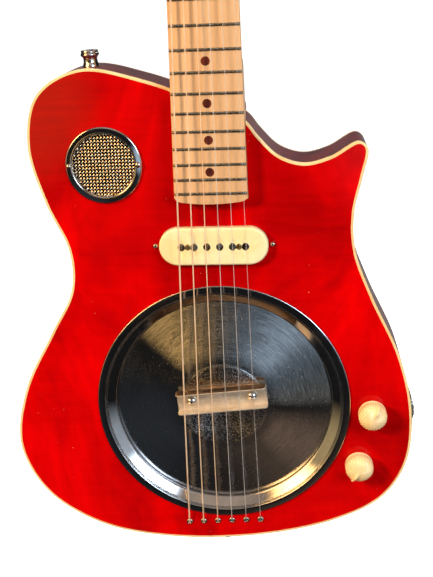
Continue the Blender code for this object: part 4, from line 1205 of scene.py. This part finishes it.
ferrule_profile = softened([
    (1.3, 8), (1.3, -0.8), (1.7, -1.2), (2.4, -0.9), (2.8, -0.3), (2.8, 0.0), (2.2, 0.0), (2.2, 8),
], 0.5, True)
for number, centre in enumerate(ferrule_centres, 1):
    make(f"ferrule_{number}", [(turned(ferrule_profile, 40, centre.x, centre.z), "ring")], nickel,
         [f"string_ferrule_{number}"])

# Painted light: both string materials glow faintly, which keeps the strings and their reflections in the dish
# bright.
plain_steel = mottled(
    "plain_steel", (0.85, 0.82, 0.80), 0.3, 0.6, ((3000, 3000, 60),),
    ((0.78, 0.74, 0.70), (0.92, 0.90, 0.88)), (0.14, 0.28),
    emission_color=(0.75, 0.68, 0.62, 1), emission_strength=0.22,
)
# Its faint warm glow is painted light as well.
wound_bronze, tree, shader, place = finish(
    "wound_bronze", (0.90, 0.66, 0.46), 0.34, 0.5, emission_color=(0.85, 0.55, 0.32, 1), emission_strength=0.26
)
winding = add(tree, "TexWave", [
    ("Vector", place), ("Scale", 780.0), ("Distortion", 0.0),
], bands_direction="Z")
worn = streaked(tree, place, 60, 0.4)
bronze = blend(tree, worn, (0.84, 0.58, 0.38, 1), (1.0, 0.82, 0.62, 1))
bronze = blend(tree, times(tree, winding.outputs["Fac"], 0.3), bronze, (0.55, 0.36, 0.20, 1))
dress(tree, shader, bronze, spread(tree, worn, 0, 1, 0.3, 0.42), winding.outputs["Fac"], 0.00002)


def tube(path, side, radius, sides=10):
    """A round section carried along a path; side gives, at each point, a vector across it."""
    along = np.gradient(path, axis=0)
    along /= np.linalg.norm(along, axis=1, keepdims=True)
    first = side - np.sum(side * along, axis=1, keepdims=True) * along
    first /= np.linalg.norm(first, axis=1, keepdims=True)
    second = np.cross(along, first)
    angle = circle(sides)[None, :, None]
    return path[:, None] + radius * (first[:, None] * np.cos(angle) + second[:, None] * np.sin(angle))


gauges = np.array([0.25, 0.33, 0.43, 0.66, 0.91, 1.17])
for number, (share, gauge, centre) in enumerate(zip(string_share, gauges, ferrule_centres), 1):
    radius = gauge / 2
    bend = 1.6
    arc = np.radians(np.linspace(0, 84, 13))
    up = points(centre.x, -0.7 - bend * np.sin(arc), centre.z + bend * (1 - np.cos(arc)))
    bridge_x = share * 28.5
    slant = np.tan(np.radians(bridge_angle)) * (bridge_x - bridge_middle.x)
    lie = bridge_top - 0.3 - radius
    tail_lip = bridge_middle.z + slant - half_width
    over = [(bridge_x, lie, tail_lip), (bridge_x, lie, tail_lip + wall)]
    nut_x, nut_y = share * 17, -11.5 - radius
    at_nut = [(nut_x, nut_y, 0.0), (nut_x, nut_y, 4.8)]
    side = 1 if number <= 3 else -1
    wrap = 3.0 + 0.3 + radius
    turn = np.linspace(0, 2.5 * np.pi, 61)
    angle = (np.pi if side == 1 else 0) - side * turn
    outward = points(np.cos(angle), 0, np.sin(angle))
    rise = -8 + (gauge + 0.3) * turn / (2 * np.pi)
    local = wrap * outward + points(side * post_offset, rise, post_local[number][2])
    straight = softened(np.concatenate([[(centre.x, 5, centre.z)], up, over, at_nut,
                                        placed(local[:1], head_matrix)]), 1.2, steps=4)
    path = np.concatenate([straight, placed(local[1:], head_matrix)])
    spun = head_matrix.to_3x3().to_4x4()
    sides = np.concatenate([np.tile([-side, 0.0, 0.0], (len(straight), 1)), placed(outward[1:], spun)])
    make(f"string_{number}_wire", [tube(path, sides, radius)], plain_steel if number <= 3 else wound_bronze,
         [f"string_{number}"])


# ---- Pots and springs ----
# The pots keep their CAD shape, in plated steel. The pickup sits on two coil springs round its
# height screws, which push it off the wood.

for node in ("volume_pot", "tone_pot"):
    frame["nodes"][node].data.materials.clear()
    frame["nodes"][node].data.materials.append(nickel)
for side in ("bass", "treble"):
    low, high = box_of(f"pickup_spring_{side}")
    middle, wire = (low + high) / 2, 0.35
    turn = np.linspace(0, 12 * np.pi, 289)
    outward = points(np.cos(turn), 0, np.sin(turn))
    path = outward * ((high.x - low.x) / 2 - wire) + np.array(middle)
    path[:, 1] = np.linspace(low.y + wire, high.y - wire, 289)
    coil = make(f"pickup_coil_spring_{side}", [tube(path, outward, wire, 8)], nickel,
                [f"pickup_spring_{side}"], None)
    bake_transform(coil)
